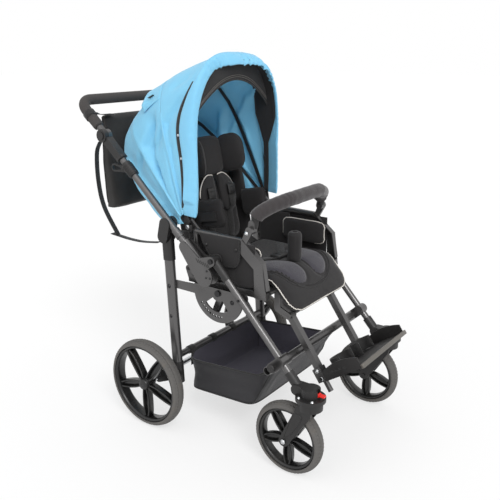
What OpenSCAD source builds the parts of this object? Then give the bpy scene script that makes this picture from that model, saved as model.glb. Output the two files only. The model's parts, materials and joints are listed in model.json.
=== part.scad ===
// Special needs buggy: folding chassis, tilting and reclining seat, canopy, bumper bar and foot support.
// Millimetres, +Z up. The occupant faces -Y, so -X is the right-hand side ("_r") and +X the left ("_l").
// The origin is on the floor under the middle of the overall box.

/* [Wheels] */
// Diameter of the rear tyres
rear_wheel_d = 300; // [270:1:320]
// Width of the rear tyres
rear_tyre_w = 47; // [38:1:52]
// Space between a rear leg and its tyre
rear_wheel_gap = 33; // [30:0.5:45]
// Diameter of the front tyres
front_wheel_d = 228; // [200:1:236]
// Width of the front tyres
front_tyre_w = 41; // [30:1:43]
// Distance between the middles of the two front tyres
front_track = 508; // [500:1:530]
// Distance between the front and rear axles, casters trailing
wheelbase = 527; // [500:1:560]
// How far each front axle trails behind its swivel axis
caster_trail = 70; // [60:1:74]
// Radial depth of a tyre from tread to rim
tyre_depth = 17; // [13:1:22]
// Number of twin-rib spokes in a wheel
spokes = 5; // [4:1:6]
// Diameter of the wheel axles
axle_d = 12; // [10:0.5:14]

/* [Chassis] */
// Diameter of the main tubes
main_tube_d = 22; // [20:0.5:24]
// Wall of every tube
tube_wall = 2; // [1.5:0.1:3]
// Distance between the middles of the two main tubes
main_track = 494; // [490:1:506]
// Distance of the fold hinge behind the middle of the wheelbase
fold_y = 14; // [5:1:22]
// Height of the fold hinge
fold_z = 606; // [600:1:614]
// How far the upper tube passes below the fold hinge
hinge_drop = 51.6; // [48:0.2:56]
// Slope of the upper tubes in degrees
upper_angle = 42.6; // [40:0.1:44]
// Length of the upper tubes, from hinge to handle joint
upper_length = 556; // [545:1:570]
// Width of the oval rear legs
leg_w = 24; // [20:0.5:25]
// Depth of the oval rear legs
leg_depth = 37; // [30:0.5:40]
// Distance between the middles of the two rear legs
leg_track = 474; // [473:1:480]
// Distance of the foot of the legs behind the middle of the wheelbase
leg_foot_y = 185; // [178:1:192]
// Diameter of the rear rail
rail_d = 22; // [18:0.5:26]
// Height of the rear rail
rail_z = 240; // [225:1:262]
// Diameter of the front cross tube
cross_tube_d = 26; // [22:0.5:28]
// Length of the front cross tube
cross_tube_l = 570; // [540:1:600]
// Thickness of the quadrant plates
plate_t = 5; // [4:0.1:5.6]
// Radius of the quadrant plates about the tilt axis
quadrant_r = 95; // [90:1:98]
// Number of tilt holes in a quadrant
tilt_holes = 9; // [6:1:10]
// Radius of the row of tilt holes
tilt_hole_r = 77; // [74:0.5:80]
// Diameter of a tilt hole
tilt_hole_d = 7; // [5:0.5:8]

/* [Basket] */
// Width of the basket
basket_w = 410; // [360:1:414]
// Thickness of the basket cloth
basket_t = 3; // [2:0.1:4]

/* [Handle] */
// Diameter of the foam grip
grip_d = 35; // [30:0.5:38]
// Length of the handle arms
handle_l = 160; // [150:1:175]
// Slope of the handle arms in degrees
handle_angle = 41; // [36:1:44]
// Corner radius of the handle at the tube's middle
handle_corner_r = 48; // [40:1:60]
// Diameter of the handle joint barrels
barrel_d = 42; // [38:0.5:46]

/* [Bag] */
// Width of the carry bag
bag_w = 380; // [340:1:400]
// Depth of the bag at its bottom
bag_depth = 78; // [60:1:84]
// Height of the bag
bag_h = 320; // [280:1:330]

/* [Seat] */
// Distance of the tilt axis behind the middle of the wheelbase
tilt_y = 12.8; // [8:0.2:16]
// Height of the tilt axis
tilt_z = 497; // [494:0.5:500]
// Outer width over the two guard plates
seat_w = 430; // [424:1:434]
// Length of the seat side rails
rail_l = 300; // [290:1:310]
// Thickness of the seat cushion
cushion_t = 36; // [28:1:42]
// Width of the seat cushion at the back
cushion_w = 350; // [320:1:372]
// Length of the drop at the front of the cushion
cushion_drop = 40; // [20:1:44]
// Depth of the two leg troughs in the cushion
trough_depth = 6; // [2:0.5:9]
// Thickness of the guard plates
guard_t = 3; // [2:0.1:4]
// Height of the arm rails
arm_z = 668; // [660:1:674]
// Diameter of the arm rails
arm_d = 18; // [14:0.5:19]
// Diameter of the pommel
pommel_d = 46; // [36:1:54]
// Height of the pommel above the cushion
pommel_h = 96; // [70:1:110]
// Diameter of the bumper sleeve
bumper_d = 45; // [38:1:50]

/* [Back] */
// Lean of the back behind the vertical in degrees
back_lean = 11.5; // [9:0.5:13]
// Width of the back shell
back_w = 300; // [280:1:320]
// Height of the back cushion
back_h = 228; // [200:1:232]
// Width of the back cushion
back_pad_w = 254; // [220:1:258]
// Thickness of the back cushion at its edge
back_pad_t = 40; // [30:1:42]
// Height of the headrest
head_h = 136; // [110:1:150]
// Width of the headrest over its wings
head_w = 220; // [190:1:240]

/* [Leg support] */
// Width of the square leg support tubes
leg_tube_w = 20; // [16:0.5:22]
// Distance between the two leg support tubes
leg_tube_track = 236; // [220:1:250]
// Length from knee hinge to footplate hinge
calf_l = 212; // [195:1:225]
// Width of the footplate
foot_w = 292; // [276:1:300]
// Length of the footplate
foot_l = 168; // [150:1:185]

/* [Canopy] */
// Height of the canopy hinge
canopy_z = 696; // [692:1:702]
// Reach of the front bow from the canopy hinge
front_reach = 487; // [468:1:492]
// Reach of the middle bow
mid_reach = 453; // [440:1:466]
// Reach of the rear bow
rear_reach = 437; // [420:1:442]
// Width of the flat bows
bow_w = 11; // [8:0.5:14]
// Thickness of the canopy cloth
cloth_t = 2.4; // [1.6:0.2:3]

/* [Hidden] */
$fn = 48;
fit = 0.05; // radial clearance of a running fit
seat_gap = 0.3; // clearance between pieces that only rest against each other
pin_d = 10; // diameter of the hinge pins

frame_c = "#4b4a4a";
plastic_c = "#262525";
cloth_c = "#2f2c2d";
trough_c = "#57545b";
foam_c = "#45423f";
tyre_c = "#4b4a48";
rim_c = "#1d1d1d";
steel_c = "#b9bbbd";
canopy_c = "#5ab4ea";
red_c = "#e0261d";
basket_c = "#34323a";

// Points of the side plane are [y, z], and angles there turn from +Y towards +Z.
function along(a) = [cos(a), sin(a)];
function leftof(a) = [-sin(a), cos(a)];
function at(p, a, t, o = 0) = p + t * along(a) + o * leftof(a);
function bearing(p, q) = atan2(q[1] - p[1], q[0] - p[0]);
function at_x(x, p) = [x, p[0], p[1]];

rear_axle = [wheelbase / 2, rear_wheel_d / 2];
front_axle = [-wheelbase / 2, front_wheel_d / 2];
caster_x = front_track / 2;
caster_y = front_axle[0] - caster_trail;
crown_gap = 4;
crown_h = 26;
crown_d = 72;
disc_h = 12;
disc_d = 88;
disc_z = front_wheel_d + crown_gap + crown_h + seat_gap;
main_x = main_track / 2;
leg_x = leg_track / 2;
rear_x = leg_x + leg_w / 2 + rear_wheel_gap + rear_tyre_w / 2;

fold = [fold_y, fold_z];
socket_in = 41; // from the swivel axis to the end of the lower tube
socket_up = 20;
low_end = [caster_y + socket_in, disc_z + socket_up];
lower_angle = bearing(low_end, fold);
lower_length = norm(fold - low_end);
knuckle_d = 28;
cheek_in = 14.5; // from the middle of the tube to the inside of a hinge cheek
cheek_t = 4;
upper_foot = at(fold, upper_angle, 0, -hinge_drop);
grip_joint = at(upper_foot, upper_angle, upper_length);
grip_bar = at(grip_joint, handle_angle, handle_l);
saddle_t = 209; // place of the leg saddle along the upper tube
saddle = at(upper_foot, upper_angle, saddle_t);
leg_top = saddle + [6, -60];
leg_foot = [leg_foot_y, rear_axle[1] + 15];
leg_lean = 90 - bearing(leg_foot, leg_top);
leg_length = norm(leg_top - leg_foot);
leg_sleeve = 2.5; // wall of the plastic sleeves on the legs
rail_at = [leg_foot[0] + tan(leg_lean) * (rail_z - leg_foot[1]), rail_z];
cross_t = 92;
cross_back = 34;
cross_at = at(low_end, lower_angle, cross_t, -cross_back);

tilt = [tilt_y, tilt_z];
plate_x = main_x - main_tube_d / 2 - 1.5 - plate_t;
lug_t = (tilt_z + 5 - low_end[1]) / sin(lower_angle);
lug_at = at(low_end, lower_angle, lug_t);
tilt_bolt_d = 12;

guard_x = seat_w / 2 - guard_t;
frame_t = 15.7;
frame_x = guard_x - 0.3 - frame_t;
seat_rail_h = 20;
seat_rail_z = tilt_z + 6;
seat_front = tilt_y - 0.545 * rail_l;
seat_back = seat_front + rail_l;
pan_z = seat_rail_z + seat_rail_h - 1;
pan_t = 6;
cushion_z = pan_z + pan_t + seat_gap;
front_bar = [seat_front + 14, seat_rail_z + seat_rail_h / 2 + 2];
knee = [seat_front - 25, tilt_z - 63];
knee_elbow = [front_bar[0] - 1, knee[1] + 16];
knee_angle = 234.9;
heel = at(knee, knee_angle, calf_l);
foot_angle = knee_angle - 89;
arm_x = guard_x - arm_d / 2 + guard_t - 0.2;
arm_front = -64;
arm_back = 118;
recline = [seat_back - 1, seat_rail_z + 42];
canopy = [147, canopy_z];
bumper_pin = [-88, arm_z + 36];

foot_lip = 10; // how far the front strip hangs below the footplate
foot_mat = 1.2; // height of the raised mat under the toes
foot_tip_y = at(heel, foot_angle, foot_l, foot_lip)[0];
grip_tip_y = grip_bar[0] + grip_d / 2;
shift_y = -(foot_tip_y + grip_tip_y) / 2;
module in_place() translate([0, shift_y, 0]) children();

// Shared shapes
module pair() {
    children();
    mirror([1, 0, 0]) children();
}
module on_side(s) mirror([s < 0 ? 1 : 0, 0, 0]) children();
module slab(x, w) translate([x, 0, 0]) rotate([90, 0, 90]) linear_extrude(w) children();
module capsule(p, q, rp, rq) {
    d = norm(q - p);
    a = bearing(p, q);
    b = acos((rp - rq) / d);
    translate(p) circle(rp);
    translate(q) circle(rq);
    polygon([p + rp * along(a + b), q + rq * along(a + b), q + rq * along(a - b), p + rp * along(a - b)]);
}
module rod(p, q, d) {
    v = q - p;
    translate(p) rotate([0, acos(v[2] / norm(v)), atan2(v[1], v[0])]) cylinder(h = norm(v), d = d);
}
module side_rod(x, p, q, d) rod(at_x(x, p), at_x(x, q), d);
module pipe(x, p, q, d) difference() {
    side_rod(x, p, q, d);
    side_rod(x, 2 * p - q, 2 * q - p, d - 2 * tube_wall);
}
module cross(p, x0, x1, d) translate([x0, p[0], p[1]]) rotate([0, 90, 0]) cylinder(h = x1 - x0, d = d);
module stadium(w, d) {
    for (s = [-1, 1]) translate([0, s * (d - w) / 2]) circle(d = w);
    square([w, d - w], center = true);
}
module leg_bar(z0, z1, grow) translate(at_x(leg_x, leg_foot)) rotate([-leg_lean, 0, 0])
    translate([0, 0, z0]) linear_extrude(z1 - z0) stadium(leg_w + 2 * grow, leg_depth + 2 * grow);

// Closed skins: rows of points joined into one polyhedron
function flat_list(rows) = [for (r = rows) for (p = r) p];
function band_faces(n, m, wrap) = [for (i = [0 : n - 2]) for (j = [0 : wrap ? m - 1 : m - 2])
    let (a = i * m + j, b = i * m + (j + 1) % m) each [[a, b, b + m], [a, b + m, a + m]]];
// A run of closed rings, each ring's two halves facing each other, with the ends closed between the halves
module skin(rings) {
    n = len(rings);
    m = len(rings[0]);
    first = [for (j = [0 : m / 2 - 2]) each [[j, m - 2 - j, j + 1], [j, m - 1 - j, m - 2 - j]]];
    e = (n - 1) * m;
    last = [for (j = [0 : m / 2 - 2]) each [[e + j, e + j + 1, e + m - 2 - j], [e + j, e + m - 2 - j, e + m - 1 - j]]];
    polyhedron(flat_list(rings), concat(band_faces(n, m, true), first, last));
}
// A round bar swept along points, all rings square to the local direction
function heading(p, i) = let (a = p[max(i - 1, 0)], b = p[min(i + 1, len(p) - 1)]) (b - a) / norm(b - a);
function ring_at(c, d, r, m, up) = let (u = cross(up, d) / norm(cross(up, d)), v = cross(d, u))
    [for (j = [0 : m - 1]) c + r * (cos(360 * j / m) * u - sin(360 * j / m) * v)];
module sweep(p, r, m, up) skin([for (i = [0 : len(p) - 1]) ring_at(p[i], heading(p, i), r, m, up)]);

// A crowned pad in its own plane: x across, y along, z out of the front, with sides drawn in between corners
function signed_power(v, e) = sign(v) * pow(abs(v), e);
function pad_edge(w, h, pull, t) = let (x = w / 2 * signed_power(cos(t), 0.42), y = h / 2 * signed_power(sin(t), 0.42))
    [x * (1 - pull * pow(cos(180 * y / h), 2)), y * (1 - pull * pow(cos(180 * x / w), 2))];
module pad(w, h, front, back, pull = 0.04, m = 28) {
    steps = [0.02, 0.45, 0.75, 0.92, 1];
    rise = function(s) pow(1 - pow(s, 3), 0.5);
    up = [for (s = steps) [s, front * rise(s)]];
    down = [for (k = [len(steps) - 2 : -1 : 0]) [steps[k], -back * rise(steps[k])]];
    skin([for (k = concat(up, down)) [for (j = [0 : m - 1])
        let (e = pad_edge(w, h, pull, 360 * (j + 0.5) / m)) [e[0] * k[0], e[1] * k[0], k[1]]]]);
}

// Chassis
module lower_tubes() color(frame_c) pair() difference() {
    pipe(main_x, low_end, at(low_end, lower_angle, lower_length - knuckle_d / 2), main_tube_d);
    cross(lug_at, 0, main_x + main_tube_d, 8);
}
lever_at = [caster_y - 26, disc_z + disc_h + 12];
module caster_housings() color(plastic_c) pair() {
    cross(lever_at, caster_x - 12, caster_x + 12, 3);
    difference() {
    union() {
        side_rod(main_x, at(low_end, lower_angle, -12), at(low_end, lower_angle, 56), main_tube_d + 8);
        translate([caster_x, caster_y, disc_z]) cylinder(h = disc_h, d = disc_d);
        translate([caster_x, caster_y, disc_z]) cylinder(h = disc_h + 26, d = 56);
        slab(main_x - 14, 34) capsule([caster_y, disc_z + 22], low_end + [2, 2], 16, 16);
    }
    side_rod(main_x, low_end, at(low_end, lower_angle, 80), main_tube_d);
    translate([caster_x, caster_y, disc_z - 1]) cylinder(h = 33, d = 16 + 2 * fit);
    translate([caster_x - 8, caster_y - 31, disc_z + disc_h + 6]) cube([16, 12, 22]);
    }
}
module fold_knuckles() color(plastic_c) pair() difference() {
    union() {
        cross(fold, main_x - cheek_in + 0.6, main_x + cheek_in - 0.6, knuckle_d);
        side_rod(main_x, at(low_end, lower_angle, lower_length - 72), fold, main_tube_d + 5);
    }
    side_rod(main_x, low_end, at(low_end, lower_angle, lower_length - knuckle_d / 2), main_tube_d);
    cross(fold, 0, 2 * main_x, pin_d);
}
module rear_legs() color(frame_c) pair() difference() {
    leg_bar(0, leg_length - 4, 0);
    leg_bar(-1, leg_length - 4 - tube_wall, -tube_wall);
}
module leg_saddles() color(plastic_c) pair() difference() {
    union() {
        slab(leg_x - leg_w / 2 - leg_sleeve, 40) capsule(leg_top, saddle + [-4, -18], 20, 20);
        leg_bar(leg_length - 78, leg_length, leg_sleeve);
    }
    leg_bar(-1, leg_length - 4, seat_gap / 3);
    translate(at_x(main_x, saddle)) rotate([upper_angle, 0, 0]) {
        rotate([90, 0, 0]) cylinder(h = 200, d = main_tube_d + 2 * seat_gap, center = true);
        translate([-main_tube_d / 2 - seat_gap, -100, 0]) cube([main_tube_d + 2 * seat_gap, 200, 60]);
    }
}
module sector_plates() color(frame_c) pair() difference() {
    slab(plate_x, plate_t) difference() {
        union() {
            intersection() {
                translate(tilt) circle(quadrant_r);
                translate([tilt_y, tilt_z - 100 + 15]) square([300, 200], center = true);
            }
            capsule([leg_foot_y + 8, tilt_z - 5], [tilt_y + 30, tilt_z - 3], 13, 16);
            capsule(lug_at, tilt + [-60, -10], 15, 20);
        }
        translate(tilt) circle(d = tilt_bolt_d);
        translate(lug_at) circle(d = 8);
        for (i = [0 : tilt_holes - 1])
            translate(tilt + tilt_hole_r * along(-33 - 66 * i / (tilt_holes - 1))) circle(d = tilt_hole_d);
        difference() {
            translate(tilt) circle(62);
            translate(tilt) circle(26);
            translate(tilt) polygon([[0, 0], 200 * along(-38), 200 * along(40), [0, 300], 200 * along(140), 200 * along(-128)]);
        }
    }
    leg_bar(-1, leg_length, seat_gap / 3);
}
module rear_rail() color(frame_c) difference() {
    cross(rail_at, -leg_x, leg_x, rail_d);
    cross(rail_at, -leg_x - 1, leg_x + 1, rail_d - 2 * tube_wall);
    pair() leg_bar(-1, leg_length, seat_gap / 3);
}
module front_cross_tube() color(frame_c) difference() {
    union() {
        cross(cross_at, -cross_tube_l / 2, cross_tube_l / 2, cross_tube_d);
        pair() cross(cross_at, main_x - 70, main_x + 16, cross_tube_d + 7);
        pair() slab(main_x - 17, 34) capsule(cross_at, at(low_end, lower_angle, cross_t), 16, 16.5);
    }
    cross(cross_at, -cross_tube_l, cross_tube_l, cross_tube_d - 2 * tube_wall);
    pair() side_rod(main_x, low_end, at(low_end, lower_angle, 200), main_tube_d + 2 * seat_gap / 3);
}
module axle_brackets() color(plastic_c) pair() difference() {
    union() {
        leg_bar(-14, 58, leg_sleeve);
        slab(leg_x + 2, 18) capsule(leg_foot + [0, 20], rear_axle, 20, 20);
    }
    leg_bar(0, leg_length, seat_gap / 3);
    cross(rear_axle, 0, rear_x, axle_d + 8);
}
module rear_axle_shaft() color(steel_c) {
    cross(rear_axle, -rear_x + 30, rear_x - 30, axle_d + 8);
    cross(rear_axle, -rear_x - 14, rear_x + 14, axle_d);
}
// Basket outline in the side plane: rear top, rear bottom, front bottom, front top
basket_rear = [rail_at[0] - rail_d / 2 - seat_gap, rail_z - 4];
basket_front = [cross_at[0] + cross_tube_d / 2 + 2, cross_at[1] - 10];
basket_low_rear = [rail_at[0] - 16, 116];
basket_low_front = [-97, 136];
module basket() color(basket_c) difference() {
    slab(-basket_w / 2, basket_w) polygon([basket_rear, basket_low_rear, basket_low_front, basket_front]);
    slab(-basket_w / 2 + basket_t, basket_w - 2 * basket_t) polygon([basket_rear + [-basket_t, 60],
        basket_rear + [-basket_t, 0], basket_low_rear + [-basket_t, basket_t], basket_low_front + [0.7, 1] * basket_t,
        basket_front + [1.2, 0] * basket_t, basket_front + [1.2 * basket_t, 60]]);
    pair() slab(basket_w / 2 - basket_t - 1, basket_t + 2) polygon([basket_rear + [-8, -10], [-116, 246],
        basket_front + [26, -6], basket_front + [26, 80], basket_rear + [-8, 80]]);
}
module chassis_bolts() color(steel_c) pair() {
    cross(fold, main_x - cheek_in - cheek_t - 2, main_x + cheek_in + cheek_t + 2, pin_d);
    for (x = [main_x - cheek_in - cheek_t - 4, main_x + cheek_in + cheek_t + 0.3]) cross(fold, x, x + 3.7, pin_d + 6);
    cross(lug_at, plate_x - 4, main_x + main_tube_d / 2 + 4, 8);
    cross(lug_at, plate_x - 4, plate_x, 13);
    cross(tilt, frame_x - 5, plate_x + plate_t + 5, tilt_bolt_d);
    cross(tilt, plate_x + plate_t, plate_x + plate_t + 5, tilt_bolt_d + 8);
    cross(tilt, frame_x - 5, frame_x - seat_gap, tilt_bolt_d + 8);
}

// Upper frame
module upper_tubes() color(frame_c) pair()
    pipe(main_x, at(upper_foot, upper_angle, 12), at(upper_foot, upper_angle, upper_length - 60), main_tube_d);
module fold_cheeks() color(plastic_c) pair() difference() {
    union() {
        for (x = [main_x - cheek_in - cheek_t, main_x + cheek_in]) slab(x, cheek_t) {
            capsule(upper_foot + [-5, -13], at(upper_foot, upper_angle, 95), 34, 18);
            capsule(fold, at(upper_foot, upper_angle, 22), 15, 24);
        }
        side_rod(main_x, at(upper_foot, upper_angle, 6), at(upper_foot, upper_angle, 112), 2 * cheek_in + 4);
        side_rod(main_x, at(upper_foot, upper_angle, 130), at(upper_foot, upper_angle, 160), main_tube_d + 5);
    }
    side_rod(main_x, at(upper_foot, upper_angle, 12), at(upper_foot, upper_angle, 300), main_tube_d);
    cross(fold, 0, 2 * main_x, pin_d + 2 * fit);
}
module handle_hinges() color(plastic_c) pair() difference() {
    union() {
        translate(at_x(main_x, at(upper_foot, upper_angle, upper_length - 104))) rotate([upper_angle, 0, 0])
            translate([-13, 0, -13]) cube([26, 86, 26]);
        side_rod(main_x, at(upper_foot, upper_angle, upper_length - 102), at(upper_foot, upper_angle, upper_length - 92), 32);
        cross(grip_joint, main_x + 0.3, main_x + 16, barrel_d);
    }
    side_rod(main_x, upper_foot, at(upper_foot, upper_angle, upper_length - 60), main_tube_d);
    cross(grip_joint, main_x - 20, main_x, barrel_d + 2);
    cross(grip_joint, main_x - 1, main_x + 9, pin_d + 2 * fit);
    cross(grip_joint, main_x + 9, main_x + 17, 24 + 2 * seat_gap);
}
bag_top_z = grip_joint[1] + 56;
bag_y = grip_joint[0] + 100; // rear face of the bag
module bag() color(cloth_c) hull() for (k = [[0, 0.96, 0.9], [0.12, 1, 1], [1, 0.94, 0.34]])
    translate([0, bag_y - bag_depth * k[2] / 2, bag_top_z - bag_h + k[0] * (bag_h - 8)])
        linear_extrude(8) offset(12) square([bag_w * k[1] - 24, bag_depth * k[2] - 24], center = true);
module bag_loops() color(cloth_c) pair() {
    hook = at(grip_joint, handle_angle, 92);
    start = bag_w / 2 - 30;
    translate([start, hook[0] - 11, bag_top_z + seat_gap]) cube([main_x - arm_in - grip_d / 2 - 0.6 - start, 22, 2.4]);
    on_handle() translate([main_x - arm_in, 81, 0]) rotate([-90, 0, 0]) difference() {
        cylinder(h = 22, d = grip_d + 6);
        translate([0, 0, -1]) cylinder(h = 24, d = grip_d + 2 * seat_gap);
    }
}
// Webbing straps from the handle joints down and forward to the tops of the legs
strap_w = 18;
strap_t = 2.4;
strap_path = [grip_joint + [21.9, -5.5], grip_joint + [38, -50], grip_joint + [36, -150], grip_joint + [16, -235],
    leg_top + [196, -8], leg_top + [150, -24], leg_top + [90, -28], leg_top + [22, -22]];
function strap_side(i, o) = let (p = strap_path, n = len(p) - 1,
    a = bearing(p[max(i - 1, 0)], p[min(i + 1, n)])) at(p[i], a, 0, o);
module bag_strap() color(cloth_c) pair() slab(main_x + 8 - strap_w / 2, strap_w) polygon(concat(
    [for (i = [0 : len(strap_path) - 1]) strap_side(i, strap_t / 2)],
    [for (i = [len(strap_path) - 1 : -1 : 0]) strap_side(i, -strap_t / 2)]));

// Handle, its buttons and the fold releases
arm_in = 6.5; // how far the handle arms sit inside the main tubes
module handle_plan(d) {
    x = main_x - arm_in;
    r = handle_corner_r;
    pair() {
        translate([x, 16, 0]) rotate([-90, 0, 0]) cylinder(h = handle_l - r - 16, d = d);
        translate([x - r, handle_l - r, 0]) rotate_extrude(angle = 90) translate([r, 0]) circle(d = d);
    }
    translate([-x + r, handle_l, 0]) rotate([0, 90, 0]) cylinder(h = 2 * (x - r), d = d);
}
module on_handle() translate(at_x(0, grip_joint)) rotate([handle_angle, 0, 0]) children();
module handle_bar() color(frame_c) difference() {
    union() {
        difference() {
            on_handle() handle_plan(main_tube_d);
            pair() cross(grip_joint, main_x, main_x + 20, barrel_d + 2);
        }
        pair() cross(grip_joint, main_x - 15, main_x - 0.3, barrel_d - 2);
        pair() cross(grip_joint, main_x - 2, main_x + 8.5, pin_d);
    }
    on_handle() pair() translate([main_x - arm_in, 60, 0]) sphere(d = 3);
}
module handle_grip() color(foam_c) on_handle() difference() {
    intersection() {
        handle_plan(grip_d);
        translate([-500, 40, -100]) cube([1000, 500, 200]);
    }
    handle_plan(main_tube_d + 0.02);
}
module handle_button(s) color(plastic_c) on_side(s) cross(grip_joint, main_x + 12.3, main_x + 19, 24);
trigger_t = upper_length - 172;
module trigger(s) color(plastic_c) on_side(s) difference() {
    union() {
        side_rod(main_x, at(upper_foot, upper_angle, trigger_t), at(upper_foot, upper_angle, trigger_t + 50), 32);
        for (i = [0 : 4]) side_rod(main_x, at(upper_foot, upper_angle, trigger_t + 6 + 8 * i),
            at(upper_foot, upper_angle, trigger_t + 10 + 8 * i), 35);
        slab(main_x - 4, 8) difference() {
            capsule(at(upper_foot, upper_angle, trigger_t + 38, -14), at(upper_foot, upper_angle, trigger_t + 76, -46), 9, 13);
            capsule(at(upper_foot, upper_angle, trigger_t + 56, -29), at(upper_foot, upper_angle, trigger_t + 76, -46), 4, 8.5);
        }
    }
    side_rod(main_x, upper_foot, at(upper_foot, upper_angle, upper_length), main_tube_d + 2 * fit);
}

// Casters
module caster_fork(s) color(plastic_c) on_side(s) {
    crown_z = front_wheel_d + crown_gap;
    leg_in = front_tyre_w / 2 + 2.5;
    translate([caster_x, caster_y, crown_z]) cylinder(h = crown_h, d = crown_d);
    translate([caster_x, caster_y, crown_z + 6]) cylinder(h = crown_h + 26, d = 16);
    for (x = [caster_x - leg_in - 9, caster_x + leg_in])
        slab(x, 9) capsule([caster_y + 5, crown_z - 1.3], front_axle, 24.5, 16);
    cross(front_axle, caster_x - leg_in - 12, caster_x + leg_in + 12, axle_d);
}
module lock_lever(s) color(red_c) on_side(s) difference() {
    union() {
        cross(lever_at, caster_x - 7.5, caster_x + 7.5, 9);
        translate([caster_x - 6, lever_at[0] - 20, lever_at[1] - 2]) cube([12, 20, 5]);
    }
    cross(lever_at, caster_x - 20, caster_x + 20, 3 + 2 * fit);
}
module tyre(r, w) rotate([0, 90, 0]) rotate_extrude() difference() {
    union() {
        translate([r - w * 0.32, 0]) circle(w * 0.32);
        translate([r - tyre_depth, -w / 2 + 3]) square([tyre_depth - w * 0.32, w - 6]);
        for (s = [-1, 1]) translate([r - w * 0.32, s * w * 0.18]) circle(w * 0.32);
        translate([r - w * 0.64, -w * 0.18]) square([w * 0.64, w * 0.36]);
    }
    translate([0, -w]) square([r - tyre_depth, 2 * w]);
}
module rim(r, w, hub_w, bore) difference() {
    union() {
        rotate([0, 90, 0]) rotate_extrude() translate([r - tyre_depth - 9, -w / 2 + 4]) square([9 - 0.05, w - 8]);
        rotate([0, 90, 0]) cylinder(h = hub_w, d = bore + 32, center = true);
        for (i = [0 : spokes - 1]) for (k = [-1, 1]) rotate([360 / spokes * i, 0, 0])
            translate([-w * 0.18, k * 8 - 3, bore / 2 + 4]) rotate([k * -3, 0, 0])
                cube([w * 0.36, 6, r - tyre_depth - 5 - bore / 2 - 4]);
    }
    children();
}
module at_rear(s) on_side(s) translate(at_x(rear_x, rear_axle)) children();
module at_front(s) on_side(s) translate(at_x(caster_x, front_axle)) children();
module rear_tyre(s) color(tyre_c) at_rear(s) tyre(rear_wheel_d / 2, rear_tyre_w);
module rear_rim(s) color(rim_c) at_rear(s) rim(rear_wheel_d / 2, rear_tyre_w, 46, axle_d)
    translate([-40, 0, 0]) rotate([0, 90, 0]) cylinder(h = 55, d = axle_d + 2 * fit);
module front_tyre(s) color(tyre_c) at_front(s) tyre(front_wheel_d / 2, front_tyre_w);
module front_rim(s) color(rim_c) at_front(s) rim(front_wheel_d / 2, front_tyre_w, front_tyre_w + 3, axle_d)
    rotate([0, 90, 0]) cylinder(h = 100, d = axle_d + 2 * fit, center = true);
module brake_bar() color(plastic_c) difference() {
    union() {
        cross(rear_axle, -60, 60, axle_d + 18);
        slab(-45, 90) capsule(rear_axle + [4, 0], rear_axle + [60, 2], 8, 6);
    }
    cross(rear_axle, -100, 100, axle_d + 8 + 2 * fit);
}

// Seat
module seat_frame() color(frame_c) difference() {
    index = tilt + tilt_hole_r * along(-66);
    union() {
        pair() {
            translate([frame_x, seat_front, seat_rail_z]) cube([frame_t, rail_l, seat_rail_h]);
            slab(frame_x, frame_t) capsule(tilt, tilt + [0, 14], 15, 15);
            slab(frame_x, frame_t) capsule(tilt, index, 11, 10);
            slab(frame_x, frame_t) capsule([seat_back - 10, seat_rail_z + 10], recline, 9.5, 12);
            cross(index, frame_x, plate_x - seat_gap, 12);
            for (k = [-1, 1]) slab(leg_tube_track / 2 + k * (leg_tube_w / 2 + 3.5) - 2.5, 5) {
                capsule(front_bar, knee_elbow, 11, 11);
                capsule(knee_elbow, knee, 11, 11);
            }
        }
        cross(front_bar, -frame_x - 2, frame_x + 2, 18);
        translate([-frame_x - 1, cushion_turn + 1, pan_z])
            cube([2 * frame_x + 2, seat_back - 18 - cushion_turn - 1, pan_t]);
    }
    pair() {
        cross(tilt, 0, main_x, tilt_bolt_d + 2 * fit);
        cross(recline, frame_x - 1, frame_x + frame_t + 1, tilt_bolt_d + 2 * fit);
    }
    cross(knee, -leg_tube_track, leg_tube_track, pin_d + 2 * fit);
    translate([0, pommel_y, pan_z - 1]) cylinder(h = pan_t + 2, d = pommel_post_d + 2 * fit);
}
// The cushion follows a path from its rear edge forward, round the front of the pan and down
cushion_rear = seat_back - 16;
cushion_turn = seat_front - 10;
cushion_r = 44;
cushion_path_l = cushion_rear - cushion_turn + cushion_r * PI / 2 + cushion_drop;
cushion_mid = cushion_z + cushion_t / 2;
function cushion_point(s) = let (a = cushion_rear - cushion_turn, b = a + cushion_r * PI / 2)
    s < a ? [cushion_rear - s, cushion_mid, 0]
    : s < b ? let (q = (s - a) / cushion_r * 180 / PI)
        [cushion_turn - cushion_r * sin(q), cushion_mid - cushion_r * (1 - cos(q)), q]
    : [cushion_turn - cushion_r, cushion_mid - cushion_r - (s - b), 90];
function cushion_half_w(s) = let (u = s / cushion_path_l) cushion_w / 2 * (1 - 0.2 * pow(u, 4)) * (u > 0.97 ? 0.94 : 1);
function trough(s, x) = let (u = (s / cushion_path_l - 0.58) / 0.24, v = (abs(x) - 74) / 58)
    trough_depth * max(0, 1 - u * u - v * v);
function cushion_row(s) = let (c = cushion_point(s), w = cushion_half_w(s), n = 16, end = min(1, min(s, cushion_path_l - s) / 22 + 0.35))
    concat([for (i = [0 : n]) let (x = w * (2 * i / n - 1), e = pow(1 - pow(abs(x) / w, 6), 0.5),
            h = cushion_t / 2 * (0.35 + 0.65 * e) * end - trough(s, x)) [x, c[0] - h * sin(c[2]), c[1] + h * cos(c[2])]],
        [for (i = [n : -1 : 0]) let (x = w * (2 * i / n - 1), e = pow(1 - pow(abs(x) / w, 6), 0.5),
            h = cushion_t / 2 * (0.35 + 0.65 * e) * end) [x * 0.985, c[0] + h * sin(c[2]), c[1] - h * cos(c[2])]]);
module seat_cushion() color(cloth_c) difference() {
    rows = 22;
    skin([for (i = [0 : rows]) cushion_row(cushion_path_l * i / rows)]);
    translate([0, pommel_y, cushion_z - 5]) cylinder(h = cushion_t + 30, d = pommel_post_d + 1);
}
pommel_y = -112;
pommel_post_d = 14;
pommel_z = cushion_z + cushion_t + 2;
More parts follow.
